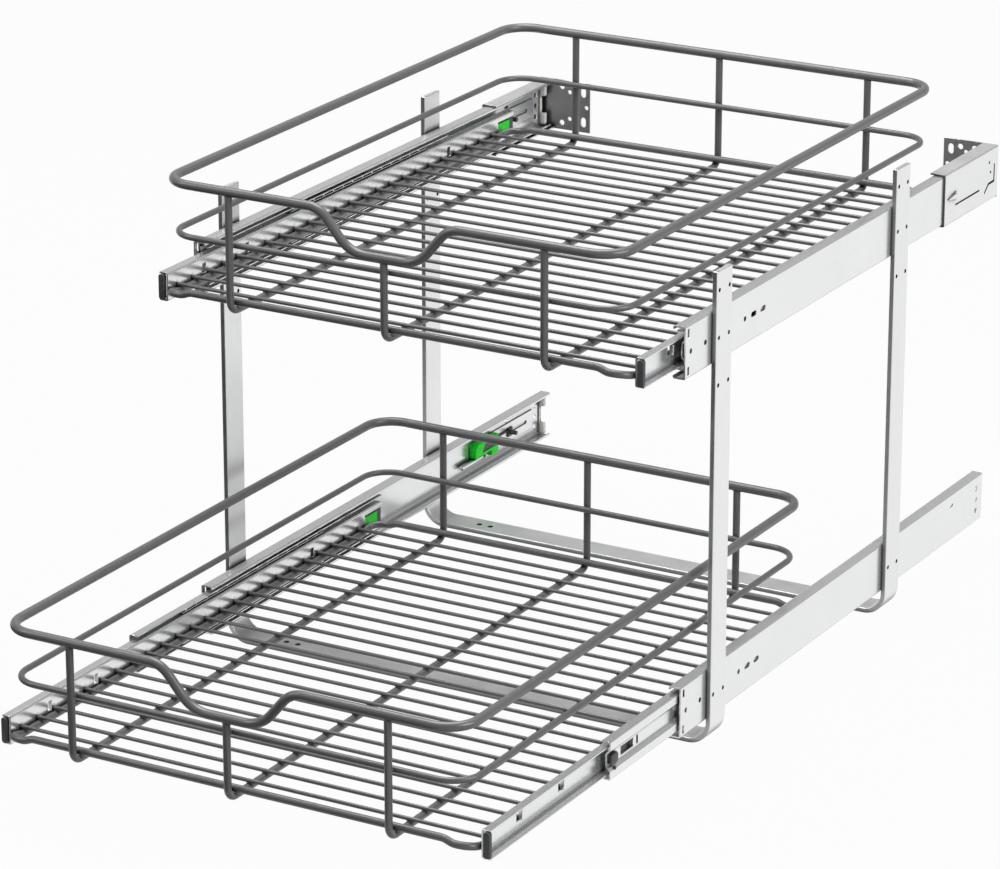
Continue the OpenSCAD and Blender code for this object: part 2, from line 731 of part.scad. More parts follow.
// Rivets that hold the outer rails to the uprights, with countersunk heads flush inside the rail
rivet_sink = 1;
rivet_room = 0.1;
module countersink(y, room, over) {
  translate([-over, y, 0]) rotate([0, 90, 0])
    cylinder(d1 = row_hole_d - room - 2*over, d2 = row_hole_d - room + 2*rail_t + 2*over,
      h = rail_t + 2*over);
}
module rivet(side, z, y) {
  color("silver") at_slide(side, z) {
    u_pin(y, 0, row_hole_d - rivet_room, rivet_sink - bar_t, rail_t/2);
    countersink(y, rivet_room, 0);
  }
}

// Basket pieces

basket_w = 2*(slide_x - rim_side);
function rim_y(out) = bumper_front(out) - rim_lead;
runner_v = -floor_drop - weld_gap - runner_d/2;
// The floor frame's front and rear stretches nest in the bends of the lengthwise wires
nest = runner_r - (runner_r - (floor_d + runner_d)/2 - weld_gap)/sqrt(2);
side_v = -floor_drop - weld_gap - floor_d/2;
dip = runner_v + nest - side_v;
side_x = slide_x - slide_d - weld_gap - floor_d/2;

module top_rim(z, out) {
  y1 = rim_y(out);
  y2 = y1 + basket_len;
  top = z + rim_rise;
  x2 = scoop_w/2 - scoop_top_r*tan(scoop_angle/2);
  x1 = x2 - scoop_depth/tan(scoop_angle);
  color(wire_grey) wire_loop(rim_d, with_mirror([
    [[x1, y1, top - scoop_depth], scoop_low_r], [[x2, y1, top], scoop_top_r],
    [[basket_w/2, y1, top], corner_r], [[basket_w/2, y2, top], corner_r]]));
}
mid_inset = (runner_d + mid_d)/2 + weld_gap;
module mid_rail(z, out) {
  color(wire_grey) both_halves() from_middle(rim_y(out) + mid_inset, z + mid_rise)
    wire(mid_d, [[basket_w/2 - corner_r, 90, corner_r, 0],
      [basket_len - 2*mid_inset - 2*corner_r, 90, corner_r, 0], [basket_w/2 - corner_r, 0, 0, 0]]);
}
module floor_frame(z, out) {
  y1 = rim_y(out) + nest;
  y2 = y1 + basket_len - 2*nest;
  low = z + side_v;
  high = low + dip;
  x2 = side_x - floor_r - dip_r*tan(dip_angle/2);
  x1 = x2 - dip/tan(dip_angle);
  color(wire_grey) wire_loop(floor_d, with_mirror([
    [[x1, y1, high], dip_r], [[x2, y1, low], dip_r], [[side_x, y1, low], floor_r],
    [[side_x, y2, low], floor_r], [[x2, y2, low], dip_r], [[x1, y2, high], dip_r]]));
}
module u_wires(z, out) {
  rise = rim_rise - rim_d/2 - weld_gap - runner_v - runner_r;
  for (k = [-1, 0, 1])
    color(wire_grey) translate([k*runner_step, rim_y(out), z + runner_v + runner_r])
      translate([0, 0, rise - (k == 0 ? scoop_depth : 0)]) rotate([180, 0, 0]) rotate([0, 0, -90])
        wire(runner_d, [[rise - (k == 0 ? scoop_depth : 0), 90, runner_r, 0],
          [basket_len - 2*runner_r, 90, runner_r, 0], [rise, 0, 0, 0]]);
}
module cross_wires(z, out) {
  half = slide_x - slide_d - 2*run_gap;
  step = (basket_len - 2*nest)/(cross_count + 1);
  color(wire_grey) for (i = [1:cross_count])
    translate([-half, rim_y(out) + nest + i*step, z - floor_drop + cross_d/2])
      rotate([0, 90, 0]) cylinder(d = cross_d, h = 2*half);
}

module rivets() {
  for (side = [left, right], z = [lower_z, upper_z], y = [front_y, rear_y], s = [-1, 1])
    rivet(side, z, y + s*row_gauge/2);
}
module on_both_sides() {
  for ($side = [left, right]) children();
}
module on_all_slides() {
  for ($side = [left, right], $z = [lower_z, upper_z]) children();
}

u_frame(front_y);  // front_u_frame
u_frame(rear_y);  // rear_u_frame
outer_rail(left, upper_z);  // upper_left_outer_rail
outer_rail(right, upper_z);  // upper_right_outer_rail
outer_rail(left, lower_z);  // lower_left_outer_rail
outer_rail(right, lower_z);  // lower_right_outer_rail
rear_bracket(left);  // left_rear_bracket
rear_bracket(right);  // right_rear_bracket
rivets();  // rail_rivets
on_all_slides() rear_stop($side, $z);  // rear_stops
housing(left, upper_z);  // upper_left_soft_close_housing
housing(right, upper_z);  // upper_right_soft_close_housing
housing(left, lower_z);  // lower_left_soft_close_housing
housing(right, lower_z);  // lower_right_soft_close_housing
on_all_slides() soft_close_base($side, $z);  // soft_close_bases
on_all_slides() damper($side, $z);  // soft_close_dampers
trigger(left, upper_z);  // upper_left_trigger
trigger(right, upper_z);  // upper_right_trigger
trigger(left, lower_z);  // lower_left_trigger
trigger(right, lower_z);  // lower_right_trigger
top_rim(upper_z, upper_out);  // upper_top_rim
mid_rail(upper_z, upper_out);  // upper_mid_rail
floor_frame(upper_z, upper_out);  // upper_floor_frame
u_wires(upper_z, upper_out);  // upper_u_wires
cross_wires(upper_z, upper_out);  // upper_cross_wires
inner_rail(left, upper_z, upper_out);  // upper_left_inner_rail
inner_rail(right, upper_z, upper_out);  // upper_right_inner_rail
on_both_sides() bumper($side, upper_z, upper_out);  // upper_bumpers
on_both_sides() catch($side, upper_z, upper_out);  // upper_catches
on_both_sides() catch_holder($side, upper_z, upper_out);  // upper_catch_holders
top_rim(lower_z, lower_out);  // lower_top_rim
mid_rail(lower_z, lower_out);  // lower_mid_rail
floor_frame(lower_z, lower_out);  // lower_floor_frame
u_wires(lower_z, lower_out);  // lower_u_wires
cross_wires(lower_z, lower_out);  // lower_cross_wires
inner_rail(left, lower_z, lower_out);  // lower_left_inner_rail
inner_rail(right, lower_z, lower_out);  // lower_right_inner_rail
on_both_sides() bumper($side, lower_z, lower_out);  // lower_bumpers
on_both_sides() catch($side, lower_z, lower_out);  // lower_catches
on_both_sides() catch_holder($side, lower_z, lower_out);  // lower_catch_holders
middle_rail(left, upper_z, upper_out);  // upper_left_middle_rail
middle_rail(right, upper_z, upper_out);  // upper_right_middle_rail
on_both_sides() latch_block($side, upper_z, upper_out);  // upper_latch_blocks
middle_rail(left, lower_z, lower_out);  // lower_left_middle_rail
middle_rail(right, lower_z, lower_out);  // lower_right_middle_rail
on_both_sides() latch_block($side, lower_z, lower_out);  // lower_latch_blocks
outer_cage(left, upper_z, upper_out);  // upper_left_outer_cage
outer_cage(right, upper_z, upper_out);  // upper_right_outer_cage
on_both_sides() outer_balls($side, upper_z, upper_out);  // upper_outer_balls
outer_cage(left, lower_z, lower_out);  // lower_left_outer_cage
outer_cage(right, lower_z, lower_out);  // lower_right_outer_cage
on_both_sides() outer_balls($side, lower_z, lower_out);  // lower_outer_balls
inner_cage(left, upper_z, upper_out);  // upper_left_inner_cage
inner_cage(right, upper_z, upper_out);  // upper_right_inner_cage
on_both_sides() inner_balls($side, upper_z, upper_out);  // upper_inner_balls
inner_cage(left, lower_z, lower_out);  // lower_left_inner_cage
inner_cage(right, lower_z, lower_out);  // lower_right_inner_cage
on_both_sides() inner_balls($side, lower_z, lower_out);  // lower_inner_balls
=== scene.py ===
"""Looks of a two-tier pull-out cabinet basket, laid over its packed construction model.

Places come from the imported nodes' boxes, so that a piece stands where the model says. Lengths are in metres, +Z is up
and the baskets pull out towards -Y.
"""
import json
import math

import bmesh
import bpy
import numpy as np
from bpy.props import FloatProperty, FloatVectorProperty, IntProperty, PointerProperty
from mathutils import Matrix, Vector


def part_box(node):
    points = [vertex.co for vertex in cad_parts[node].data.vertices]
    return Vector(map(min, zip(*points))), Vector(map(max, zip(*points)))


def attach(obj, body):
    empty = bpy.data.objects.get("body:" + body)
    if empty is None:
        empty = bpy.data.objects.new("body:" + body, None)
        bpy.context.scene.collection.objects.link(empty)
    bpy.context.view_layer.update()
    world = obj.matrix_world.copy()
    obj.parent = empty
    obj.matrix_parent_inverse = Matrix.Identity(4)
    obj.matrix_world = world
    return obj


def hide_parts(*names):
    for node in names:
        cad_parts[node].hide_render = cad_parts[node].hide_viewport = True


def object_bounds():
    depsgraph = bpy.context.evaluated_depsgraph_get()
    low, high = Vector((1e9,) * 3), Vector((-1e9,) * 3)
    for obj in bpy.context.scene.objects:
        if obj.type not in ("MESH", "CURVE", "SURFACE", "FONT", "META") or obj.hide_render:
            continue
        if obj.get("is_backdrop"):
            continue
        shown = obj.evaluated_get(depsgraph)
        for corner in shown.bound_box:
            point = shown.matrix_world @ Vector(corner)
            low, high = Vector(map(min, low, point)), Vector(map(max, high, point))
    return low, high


bl_info = {
    "name": "Pull-out cabinet basket",
    "version": (1, 0, 0),
    "blender": (4, 5, 0),
    "location": "3D View > Sidebar > Basket",
    "description": "Looks of a two-tier cabinet basket",
    "category": "Object",
}

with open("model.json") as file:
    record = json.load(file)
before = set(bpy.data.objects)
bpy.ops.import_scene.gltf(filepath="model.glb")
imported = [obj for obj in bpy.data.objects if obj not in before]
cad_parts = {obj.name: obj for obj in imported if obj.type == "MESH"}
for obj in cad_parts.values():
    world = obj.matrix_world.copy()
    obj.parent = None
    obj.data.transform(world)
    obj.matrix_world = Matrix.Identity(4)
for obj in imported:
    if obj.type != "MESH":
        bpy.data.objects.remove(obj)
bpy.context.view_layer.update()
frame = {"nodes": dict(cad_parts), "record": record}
TIERS = ("upper", "lower")
SIDES = {-1: "left", 1: "right"}
UP = np.array([0.0, 0.0, 1.0])
ACROSS = np.array([1.0, 0.0, 0.0])
ALONG = np.array([0.0, 1.0, 0.0])

# How finely curves are cut: points in a wire's bend and round its section
RIM_STEPS, FRAME_STEPS, CORNER_STEPS = 13, 11, 5
THICK_SIDES, WIRE_SIDES, BARREL_SIDES, THIN_SIDES = 28, 22, 20, 14
END_STEPS = 4

# Turns between faces: up to the first they are one, past the others their edge is shaded sharp or rounded
FLAT_TURN, SHARP_TURN, ROUNDED_TURN = math.radians(0.5), math.radians(32), math.radians(50)
SHORTEST_ROUNDED = 0.0015
SAME_POINT = 1e-6
CAST_SHARP, TURNED_SHARP, PRESSED_SHARP = 40, 45, 20


def length(name, description, default):
    """A size to set, in metres."""
    return FloatProperty(name=name, description=description, default=default, min=0.0, precision=5,
                         subtype="DISTANCE", unit="LENGTH")


def slope(name, description, degrees):
    """An angle to set."""
    return FloatProperty(name=name, description=description, default=math.radians(degrees), subtype="ANGLE")


def number(name, description, default, least=1):
    """A count to set."""
    return IntProperty(name=name, description=description, default=default, min=least, max=40)


def strength(name, description, default):
    """A share to set, from 0 to 1."""
    return FloatProperty(name=name, description=description, default=default, min=0.0, max=1.0, subtype="FACTOR")


def tone(name, description, default):
    """A colour to set, in linear light."""
    return FloatVectorProperty(name=name, description=description, default=default, size=3, min=0.0, max=1.0,
                               subtype="COLOR")


class BasketSizes(bpy.types.PropertyGroup):
    """Sizes of the wires and small parts that the dressed pieces are made with"""

    rim_d: length("Rim wire", "Diameter of the top rim's wire", 0.0075)
    mid_d: length("Middle rail wire", "Diameter of the wire halfway up the basket", 0.005)
    runner_d: length("Runner wire", "Diameter of the lengthwise wires", 0.006)
    floor_d: length("Floor frame wire", "Diameter of the wire round the floor", 0.006)
    cross_d: length("Floor wire", "Diameter of the thin wires across the floor", 0.0032)
    corner_r: length("Rim corner", "Bend radius of the rim's corners", 0.024)
    scoop_w: length("Scoop width", "Width of the rim's dip", 0.134)
    scoop_depth: length("Scoop depth", "Depth of the rim's dip", 0.032)
    scoop_low_r: length("Scoop low bend", "Bend radius at the bottom of the dip", 0.030)
    scoop_top_r: length("Scoop top bend", "Bend radius at the top of the dip", 0.022)
    scoop_angle: slope("Scoop slope", "Slope of the dip's sides", 50)
    runner_r: length("Runner bend", "Bend radius of the lengthwise wires", 0.010)
    runner_step: length("Runner spacing", "Distance between the lengthwise wires", 0.139)
    floor_r: length("Floor frame corner", "Bend radius of the floor frame's corners", 0.012)
    dip_r: length("Floor frame dip bend", "Bend radius where the floor frame's ends dip", 0.014)
    dip_angle: slope("Floor frame slope", "Slope where the floor frame's ends dip", 20)
    dip_depth: length("Floor frame dip", "How far the floor frame dips before its corners", 0.0028)
    ramp: length("Floor frame ramp", "Length over which its sides drop the rest of the way", 0.0185)
    wire_gap: length("Straight between bends", "Straight wire between the floor frame's bends", 0.001)
    cross_count: number("Floor wires", "Thin wires across each floor", 24, 2)
    bead: length("Weld bead", "Radius of the weld where two wires cross", 0.0019)
    cap_depth: length("End cap depth", "Depth across the slide", 0.0052)
    cap_r: length("End cap corner", "Radius of an end cap's corners", 0.002)
    latch_depth: length("Latch depth", "Depth across the slide", 0.00295)
    latch_r: length("Latch corner", "Radius of a latch block's corners", 0.0008)
    tab_rise: length("Bracket tab", "How far it stands out", 0.0012)
    damper_d: length("Damper", "Diameter of a damper", 0.005)
    damper_rod: length("Damper rod", "Length of rod that shows", 0.00585)
    seal_len: length("Damper seal", "Length of a damper's seal", 0.005)
    outer_balls: number("Outer balls", "Balls along each side of an outer cage", 8)
    inner_balls: number("Inner balls", "Balls along each side of an inner cage", 14)
    bar_edge: length("Bar edge", "Rounding along the flat bars' edges", 0.0005)
    sheet_edge: length("Sheet edge", "Rounding along the sheet's cut edges", 0.0002)
    moulded_edge: length("Moulded edge", "Rounding along the plastic parts' edges", 0.0004)


class BasketFinishes(bpy.types.PropertyGroup):
    """Colours and surface strengths of the finishes"""

    coating: tone("Wire coating", "Powder coat on the wires", (0.108, 0.107, 0.108))
    plating: tone("Plated steel", "Plated slides", (0.84, 0.845, 0.85))
    bar_steel: tone("Bar steel", "Flat bars and brackets", (0.83, 0.835, 0.84))
    cage_steel: tone("Cage steel", "Ball cages", (0.8, 0.8, 0.79))
    ball_steel: tone("Ball steel", "Balls", (0.78, 0.78, 0.79))
    green: tone("Soft-close green", "Housings and catches", (0.002, 0.72, 0.02))
    black: tone("Black plastic", "Triggers, holders and latch blocks", (0.03, 0.03, 0.032))
    rubber: tone("End cap", "Soft end caps", (0.05, 0.052, 0.055))
    nylon: tone("Stop", "Rear stops", (0.75, 0.74, 0.71))
    coat_texture: strength("Coat texture", "Depth of the powder coat's fine ripple", 0.08)
    grain: strength("Grain", "Depth of the rolled steel's grain", 0.003)


# Geometry: paths, tubes and solids with rounded edges, as whole arrays


def unit(v):
    """Each row of v divided by its own length."""
    return v / np.linalg.norm(v, axis=-1, keepdims=True)


def bent_path(corners, radii, closed, steps):
    """Points and directions of a wire bent round its corners. At a corner p, d is the way in, e the way out, a the
    turn between them and m the part of e square to d. The bend of radius r has its middle at
    c = p - d r tan(a/2) + m r, its points at c + d r sin k - m r cos k and its directions at d cos k + m sin k, for k
    from 0 to a."""
    p = np.asarray(corners, float)
    before, after = np.roll(p, 1, 0), np.roll(p, -1, 0)
    if not closed:
        p, before, after = p[1:-1], p[:-2], p[2:]
    r = np.broadcast_to(np.asarray(radii, float), len(p))[:, None]
    d, e = unit(p - before), unit(after - p)
    cosine = np.clip((d * e).sum(1, keepdims=True), -1, 1)
    a = np.arccos(cosine)
    m = unit(e - d * cosine)
    middle = p - d * (r * np.tan(a / 2)) + m * r
    k = (a * np.linspace(0, 1, steps))[:, :, None]
    d, m, r = d[:, None], m[:, None], r[:, None]
    points = (middle[:, None] + d * (r * np.sin(k)) - m * (r * np.cos(k))).reshape(-1, 3)
    ways = (d * np.cos(k) + m * np.sin(k)).reshape(-1, 3)
    if not closed:
        ends = np.asarray(corners, float)
        points = np.vstack([ends[:1], points, ends[-1:]])
        ways = np.vstack([unit(ends[1:2] - ends[:1]), ways, unit(ends[-1:] - ends[-2:-1])])
    return points, ways


def grid_faces(rows, columns, close_rows, close_columns):
    """Four-cornered faces of a grid of points, numbered row by row."""
    i = np.arange(rows if close_rows else rows - 1)[:, None]
    j = np.arange(columns if close_columns else columns - 1)[None, :]
    i2, j2 = (i + 1) % rows, (j + 1) % columns
    corners = [i * columns + j, i2 * columns + j, i2 * columns + j2, i * columns + j2]
    return np.stack(corners, -1).reshape(-1, 4)


def tube(points, ways, radius, reference, closed, sides, edge=0.0):
    """A round wire along a path. At each point the side is the way crossed with a reference, the top is the side
    crossed with the way, and the section is the point plus radius times (side cos k + top sin k). An open wire's ends
    are rounded by edge: there the radius is radius - edge (1 - sin k) at a distance of edge (1 - cos k) from the
    end."""
    r = np.full(len(points), radius)
    if not closed and edge > 0:
        k = np.linspace(0, math.pi / 2, END_STEPS)[:, None]
        small = radius - edge * (1 - np.sin(k[:, 0]))
        first = points[:1] + ways[:1] * (edge * (1 - np.cos(k)))
        last = points[-1:] - ways[-1:] * (edge * (1 - np.cos(k[::-1])))
        points = np.vstack([first, points[1:-1], last])
        ways = np.vstack([np.repeat(ways[:1], END_STEPS, 0), ways[1:-1], np.repeat(ways[-1:], END_STEPS, 0)])
        r = np.concatenate([small, np.full(len(points) - 2 * END_STEPS, radius), small[::-1]])
    side = unit(np.cross(ways, reference))
    top = np.cross(side, ways)
    k = np.linspace(0, 2 * math.pi, sides, endpoint=False)[None, :, None]
    rings = points[:, None] + r[:, None, None] * (side[:, None] * np.cos(k) + top[:, None] * np.sin(k))
    faces = [grid_faces(len(points), sides, closed, True)]
    if not closed:
        ring = np.arange(sides)[None, :]
        faces += [ring, (len(points) - 1) * sides + ring[:, ::-1]]
    return rings.reshape(-1, 3), faces


def slab(outline, low, high, edge, place, steps=4):
    """A solid with a closed outline, carried from one depth to another, its edges rounded. The outline's points run
    anticlockwise. A section at a depth of low + edge (1 - cos k), and the same from high, is the outline moved
    inwards along its mitred normals by edge (1 - sin k), for k from 0 to a quarter turn. place turns the columns
    (first, second, depth) into (x, y, z)."""
    p = np.asarray(outline, float)
    d, e = unit(p - np.roll(p, 1, 0)), unit(np.roll(p, -1, 0) - p)
    n1, n2 = np.stack([d[:, 1], -d[:, 0]], 1), np.stack([e[:, 1], -e[:, 0]], 1)
    mitre = (n1 + n2) / (1 + (n1 * n2).sum(1, keepdims=True))
    k = np.linspace(0, math.pi / 2, steps)
    inward = np.concatenate([edge * (1 - np.sin(k)), edge * (1 - np.sin(k[::-1]))])
    depth = np.concatenate([low + edge * (1 - np.cos(k)), high - edge * (1 - np.cos(k[::-1]))])
    flat = p[None] - mitre[None] * inward[:, None, None]
    rings = np.concatenate([flat, np.broadcast_to(depth[:, None, None], flat.shape[:2] + (1,))], -1)
    ring = np.arange(len(p))[None, :]
    walls = grid_faces(len(depth), len(p), False, True)[:, ::-1]
    return place(rings.reshape(-1, 3)), [walls, ring[:, ::-1], (len(depth) - 1) * len(p) + ring]


def rounded(points, radius, steps=CORNER_STEPS):
    """A flat outline with its corners rounded."""
    p = np.asarray(points, float)
    return bent_path(np.column_stack([p, np.zeros(len(p))]), radius, True, steps)[0][:, :2]


def oblong(p1, q1, p2, q2, radius):
    """A rounded rectangle between two corners, anticlockwise."""
    return rounded([(p1, q1), (p2, q1), (p2, q2), (p1, q2)], radius)


def circle(p, q, radius, steps=12):
    """A flat circle round a point, anticlockwise."""
    k = np.linspace(0, 2 * math.pi, steps, endpoint=False)
    return np.stack([p + radius * np.cos(k), q + radius * np.sin(k)], 1)


def pebbles(centres, radii, rows, columns):
    """Small flattened balls. Each is its centre plus (rx cos a cos b, ry cos a sin b, rz sin a), for a in a half turn
    and b in a whole turn. Its two poles are single points."""
    a = np.linspace(-math.pi / 2, math.pi / 2, rows + 2)[1:-1, None]
    b = np.linspace(0, 2 * math.pi, columns, endpoint=False)[None]
    ball = np.stack([np.cos(a) * np.cos(b), np.cos(a) * np.sin(b), np.sin(a) + 0 * b], -1).reshape(-1, 3)
    ball = np.vstack([ball, [[0, 0, -1], [0, 0, 1]]]) * np.asarray(radii, float)
    centres = np.asarray(centres, float)
    n = len(ball)
    points = (centres[:, None] + ball[None]).reshape(-1, 3)
    quads = grid_faces(rows, columns, False, True)[:, ::-1]
    j, last = np.arange(columns), (rows - 1) * columns
    low = np.stack([np.full(columns, n - 2), (j + 1) % columns, j], 1)
    high = np.stack([np.full(columns, n - 1), last + j, last + (j + 1) % columns], 1)
    shift = (np.arange(len(centres)) * n)[:, None, None]
    return points, [(faces[None] + shift).reshape(-1, faces.shape[1]) for faces in (quads, low, high)]


def at_slide(side, tier, columns):
    """Turns points on a slide into (x, y, z). columns says which of them holds u, inwards from the outer rail's
    outside, which y, and which v, up from the slide's middle line."""
    low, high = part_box(f"{tier}_{SIDES[side]}_outer_rail")
    outside, middle = (low.x if side < 0 else high.x), (low.z + high.z) / 2
    u, y, v = columns
    return lambda p: np.stack([outside - side * p[:, u], p[:, y], middle + p[:, v]], -1)


def outward(points, faces):
    """Faces turned so that they point out of their closed shell. The shell's volume is a sixth of the sum, over
    triangles from each face's first corner, of the triple product of the corners. Where it is negative every face is
    reversed."""
    volume = 0.0
    for group_faces in faces:
        start = points[group_faces[:, 0]]
        for k in range(1, group_faces.shape[1] - 1):
            normal = np.cross(points[group_faces[:, k]], points[group_faces[:, k + 1]])
            volume += np.einsum("ij,ij->", start, normal)
    return faces if volume > 0 else [group_faces[:, ::-1] for group_faces in faces]


def put(name, data):
    """A new object in the scene."""
    made = bpy.data.objects.new(name, data)
    bpy.context.scene.collection.objects.link(made)
    return made


def ready(made, body, slot, nodes):
    """Puts a finished piece on its body, in place of its nodes and with its finish."""
    made.data.materials.clear()
    made.data.materials.append(finish(slot))
    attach(made, body)
    if nodes:
        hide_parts(*nodes)


def piece(name, body, slot, shells, nodes=(), sharp=None):
    """One dressed piece made of shells, each its points and its faces. It rides on a body, takes the finish of a slot
    and stands for the nodes that it replaces. Edges that turn by more than sharp degrees are shaded sharp."""
    points, corners, totals, count = [], [], [], 0
    for shell_points, shell_faces in shells:
        points.append(shell_points)
        for faces in outward(shell_points, shell_faces):
            corners.append((faces + count).ravel())
            totals.append(np.full(len(faces), faces.shape[1]))
        count += len(shell_points)
    points, corners, totals = np.concatenate(points), np.concatenate(corners), np.concatenate(totals)
    mesh = bpy.data.meshes.new(name)
    mesh.vertices.add(len(points))
    mesh.vertices.foreach_set("co", points.ravel())
    mesh.loops.add(len(corners))
    mesh.loops.foreach_set("vertex_index", corners)
    mesh.polygons.add(len(totals))
    mesh.polygons.foreach_set("loop_start", np.concatenate([[0], np.cumsum(totals)[:-1]]))
    mesh.polygons.foreach_set("loop_total", totals)
    mesh.polygons.foreach_set("use_smooth", np.ones(len(totals), bool))
    mesh.update(calc_edges=True)
    if mesh.validate():
        raise RuntimeError(f"{name} has faces that Blender had to mend")
    if sharp:
        mesh.set_sharp_from_angle(angle=math.radians(sharp))
    ready(put(name, mesh), body, slot, nodes)


def coated_wire(tier, name, shells, node=None):
    """One wire, or one set of them, of a tier's basket. It replaces the node of the same name unless told."""
    piece(f"{tier}_coated_{name}", f"{tier}_basket", "wire_coating", shells, [f"{tier}_{node or name}"])


def body_of_node(node):
    """(body, slot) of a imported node, from its record."""
    record = frame["record"]
    body = next(name for name, nodes in record["behaviour"]["bodies"].items() if node in nodes)
    slot = next(row["material_slot"] for row in record["subparts"] if row["node"] == node)
    return body, slot


def array_of(items, key, width=1, kind=int):
    """One property of all of a mesh's items, a row for each."""
    values = np.empty(len(items) * width, kind)
    items.foreach_get(key, values)
    return values.reshape(-1, width) if width > 1 else values


def softened(node, width):
    """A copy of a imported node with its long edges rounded, which stands for it. An edge is rounded where it is long,
    lies between two faces and turns by more than ROUNDED_TURN, and a bevel of the given width follows those edges."""
    mesh = frame["nodes"][node].data.copy()
    mesh.name = node + "_softened"
    shape = bmesh.new()
    shape.from_mesh(mesh)
    bmesh.ops.remove_doubles(shape, verts=shape.verts, dist=SAME_POINT)
    bmesh.ops.dissolve_limit(shape, angle_limit=FLAT_TURN, verts=shape.verts, edges=shape.edges)
    shape.to_mesh(mesh)
    shape.free()
    edge_of = array_of(mesh.loops, "edge_index")
    normals = array_of(mesh.polygons, "normal", 3, float)
    totals = array_of(mesh.polygons, "loop_total")
    ends = array_of(mesh.edges, "vertices", 2)
    points = array_of(mesh.vertices, "co", 3, float)
    face_of = np.repeat(np.arange(len(totals)), totals)
    order = np.argsort(edge_of, kind="stable")
    first = np.unique(edge_of[order], return_index=True)[1]
    faces = face_of[order][np.add.outer(first, [0, 1]).clip(max=len(order) - 1)]
    cosine = (normals[faces[:, 0]] * normals[faces[:, 1]]).sum(1)
    between_two = np.bincount(edge_of, minlength=len(ends)) == 2
    long_edge = np.linalg.norm(points[ends[:, 0]] - points[ends[:, 1]], axis=1) > SHORTEST_ROUNDED
    weight = (between_two & long_edge & (cosine < math.cos(ROUNDED_TURN))).astype(np.float32)
    mesh.attributes.new("bevel_weight_edge", "FLOAT", "EDGE").data.foreach_set("value", weight)
    mesh.polygons.foreach_set("use_smooth", np.ones(len(totals), bool))
    mesh.set_sharp_from_angle(angle=SHARP_TURN)
    made = put(node + "_dressed", mesh)
    bevel = made.modifiers.new("rounded edges", "BEVEL")
    bevel.limit_method, bevel.width, bevel.segments, bevel.use_clamp_overlap = "WEIGHT", width, 2, False
    made.modifiers.new("flat faces stay flat", "WEIGHTED_NORMAL").keep_sharp = True
    ready(made, *body_of_node(node), [node])


# Materials


def opaque(value):
    """A colour of three numbers with its alpha; any other value as it is."""
    return (*value, 1.0) if isinstance(value, tuple) and len(value) == 3 else value


def grey(value):
    """A neutral colour."""
    return value, value, value


def shaded(colour, share):
    """A colour made lighter or darker by a share."""
    return tuple(min(1.0, max(0.0, c * share)) for c in colour)


class Nodes:
    """A node tree that is filled by short calls."""

    def __init__(self, tree):
        self.tree = tree

    def join(self, node, inputs):
        """Links or sets the inputs of a node."""
        for key, value in inputs.items():
            if isinstance(value, bpy.types.NodeSocket):
                self.tree.links.new(value, node.inputs[key])
            else:
                node.inputs[key].default_value = opaque(value) if node.inputs[key].type == "RGBA" else value
        return node

    def add(self, kind, inputs=None, **settings):
        node = self.tree.nodes.new(kind)
        for key, value in settings.items():
            setattr(node, key, value)
        return self.join(node, inputs or {})

    def math(self, operation, a, b=0.0):
        return self.add("ShaderNodeMath", {0: a, 1: b}, operation=operation).outputs[0]

    def total(self, *terms):
        """The sum of values, each times its share."""
        parts = [self.math("MULTIPLY", value, share) for value, share in terms]
        result = parts[0]
        for part in parts[1:]:
            result = self.math("ADD", result, part)
        return result

    def noise(self, place, scale, detail, roughness=0.5):
        inputs = {"Vector": place, "Scale": scale, "Detail": detail, "Roughness": roughness}
        return self.add("ShaderNodeTexNoise", inputs).outputs["Fac"]

    def bump(self, height, depth, distance):
        return self.add("ShaderNodeBump", {"Height": height, "Strength": depth, "Distance": distance}).outputs["Normal"]

    def mapped(self, value, start, end, low, high):
        """low to high as the value goes from start to end, and held outside."""
        inputs = {"Value": value, "From Min": start, "From Max": end, "To Min": low, "To Max": high}
        return self.add("ShaderNodeMapRange", inputs).outputs[0]

    def ramp(self, value, stops):
        node = self.add("ShaderNodeValToRGB", {"Fac": value})
        while len(node.color_ramp.elements) < len(stops):
            node.color_ramp.elements.new(0.5)
        for element, (place, colour) in zip(node.color_ramp.elements, stops):
            element.position = place
            element.color = opaque(colour)
        return node.outputs["Color"]

    def mix(self, factor, a, b):
        """a where the factor is 0 and b where it is 1. Inputs 6 and 7 are the node's two colours."""
        return self.add("ShaderNodeMix", {"Factor": factor, 6: a, 7: b}, data_type="RGBA").outputs[2]

    def seen(self):
        """1 for what the camera sees, straight, mirrored or through something, and 0 for the rest of the light."""
        path = self.add("ShaderNodeLightPath").outputs
        mirrored = self.math("MAXIMUM", path["Is Camera Ray"], path["Is Glossy Ray"])
        return self.math("MAXIMUM", mirrored, path["Is Transmission Ray"])


def emptied(made):
    """The nodes of a material or a world, with none in them."""
    made.use_nodes = True
    made.node_tree.nodes.clear()
    return Nodes(made.node_tree)


def group(name, inputs, outputs, fill):
    """A shader node group, made once. Each input is (name, kind of socket, value or None) and each output (name,
    kind). fill(nodes, inputs) returns its outputs in order."""
    if name in bpy.data.node_groups:
        return bpy.data.node_groups[name]
    tree = bpy.data.node_groups.new(name, "ShaderNodeTree")
    for socket, kind, default in inputs:
        made = tree.interface.new_socket(name=socket, in_out="INPUT", socket_type="NodeSocket" + kind)
        if default is not None:
            made.default_value = default
    for socket, kind in outputs:
        tree.interface.new_socket(name=socket, in_out="OUTPUT", socket_type="NodeSocket" + kind)
    start, end = tree.nodes.new("NodeGroupInput"), tree.nodes.new("NodeGroupOutput")
    for socket, value in zip(end.inputs, fill(Nodes(tree), start.outputs)):
        tree.links.new(value, socket)
    return tree


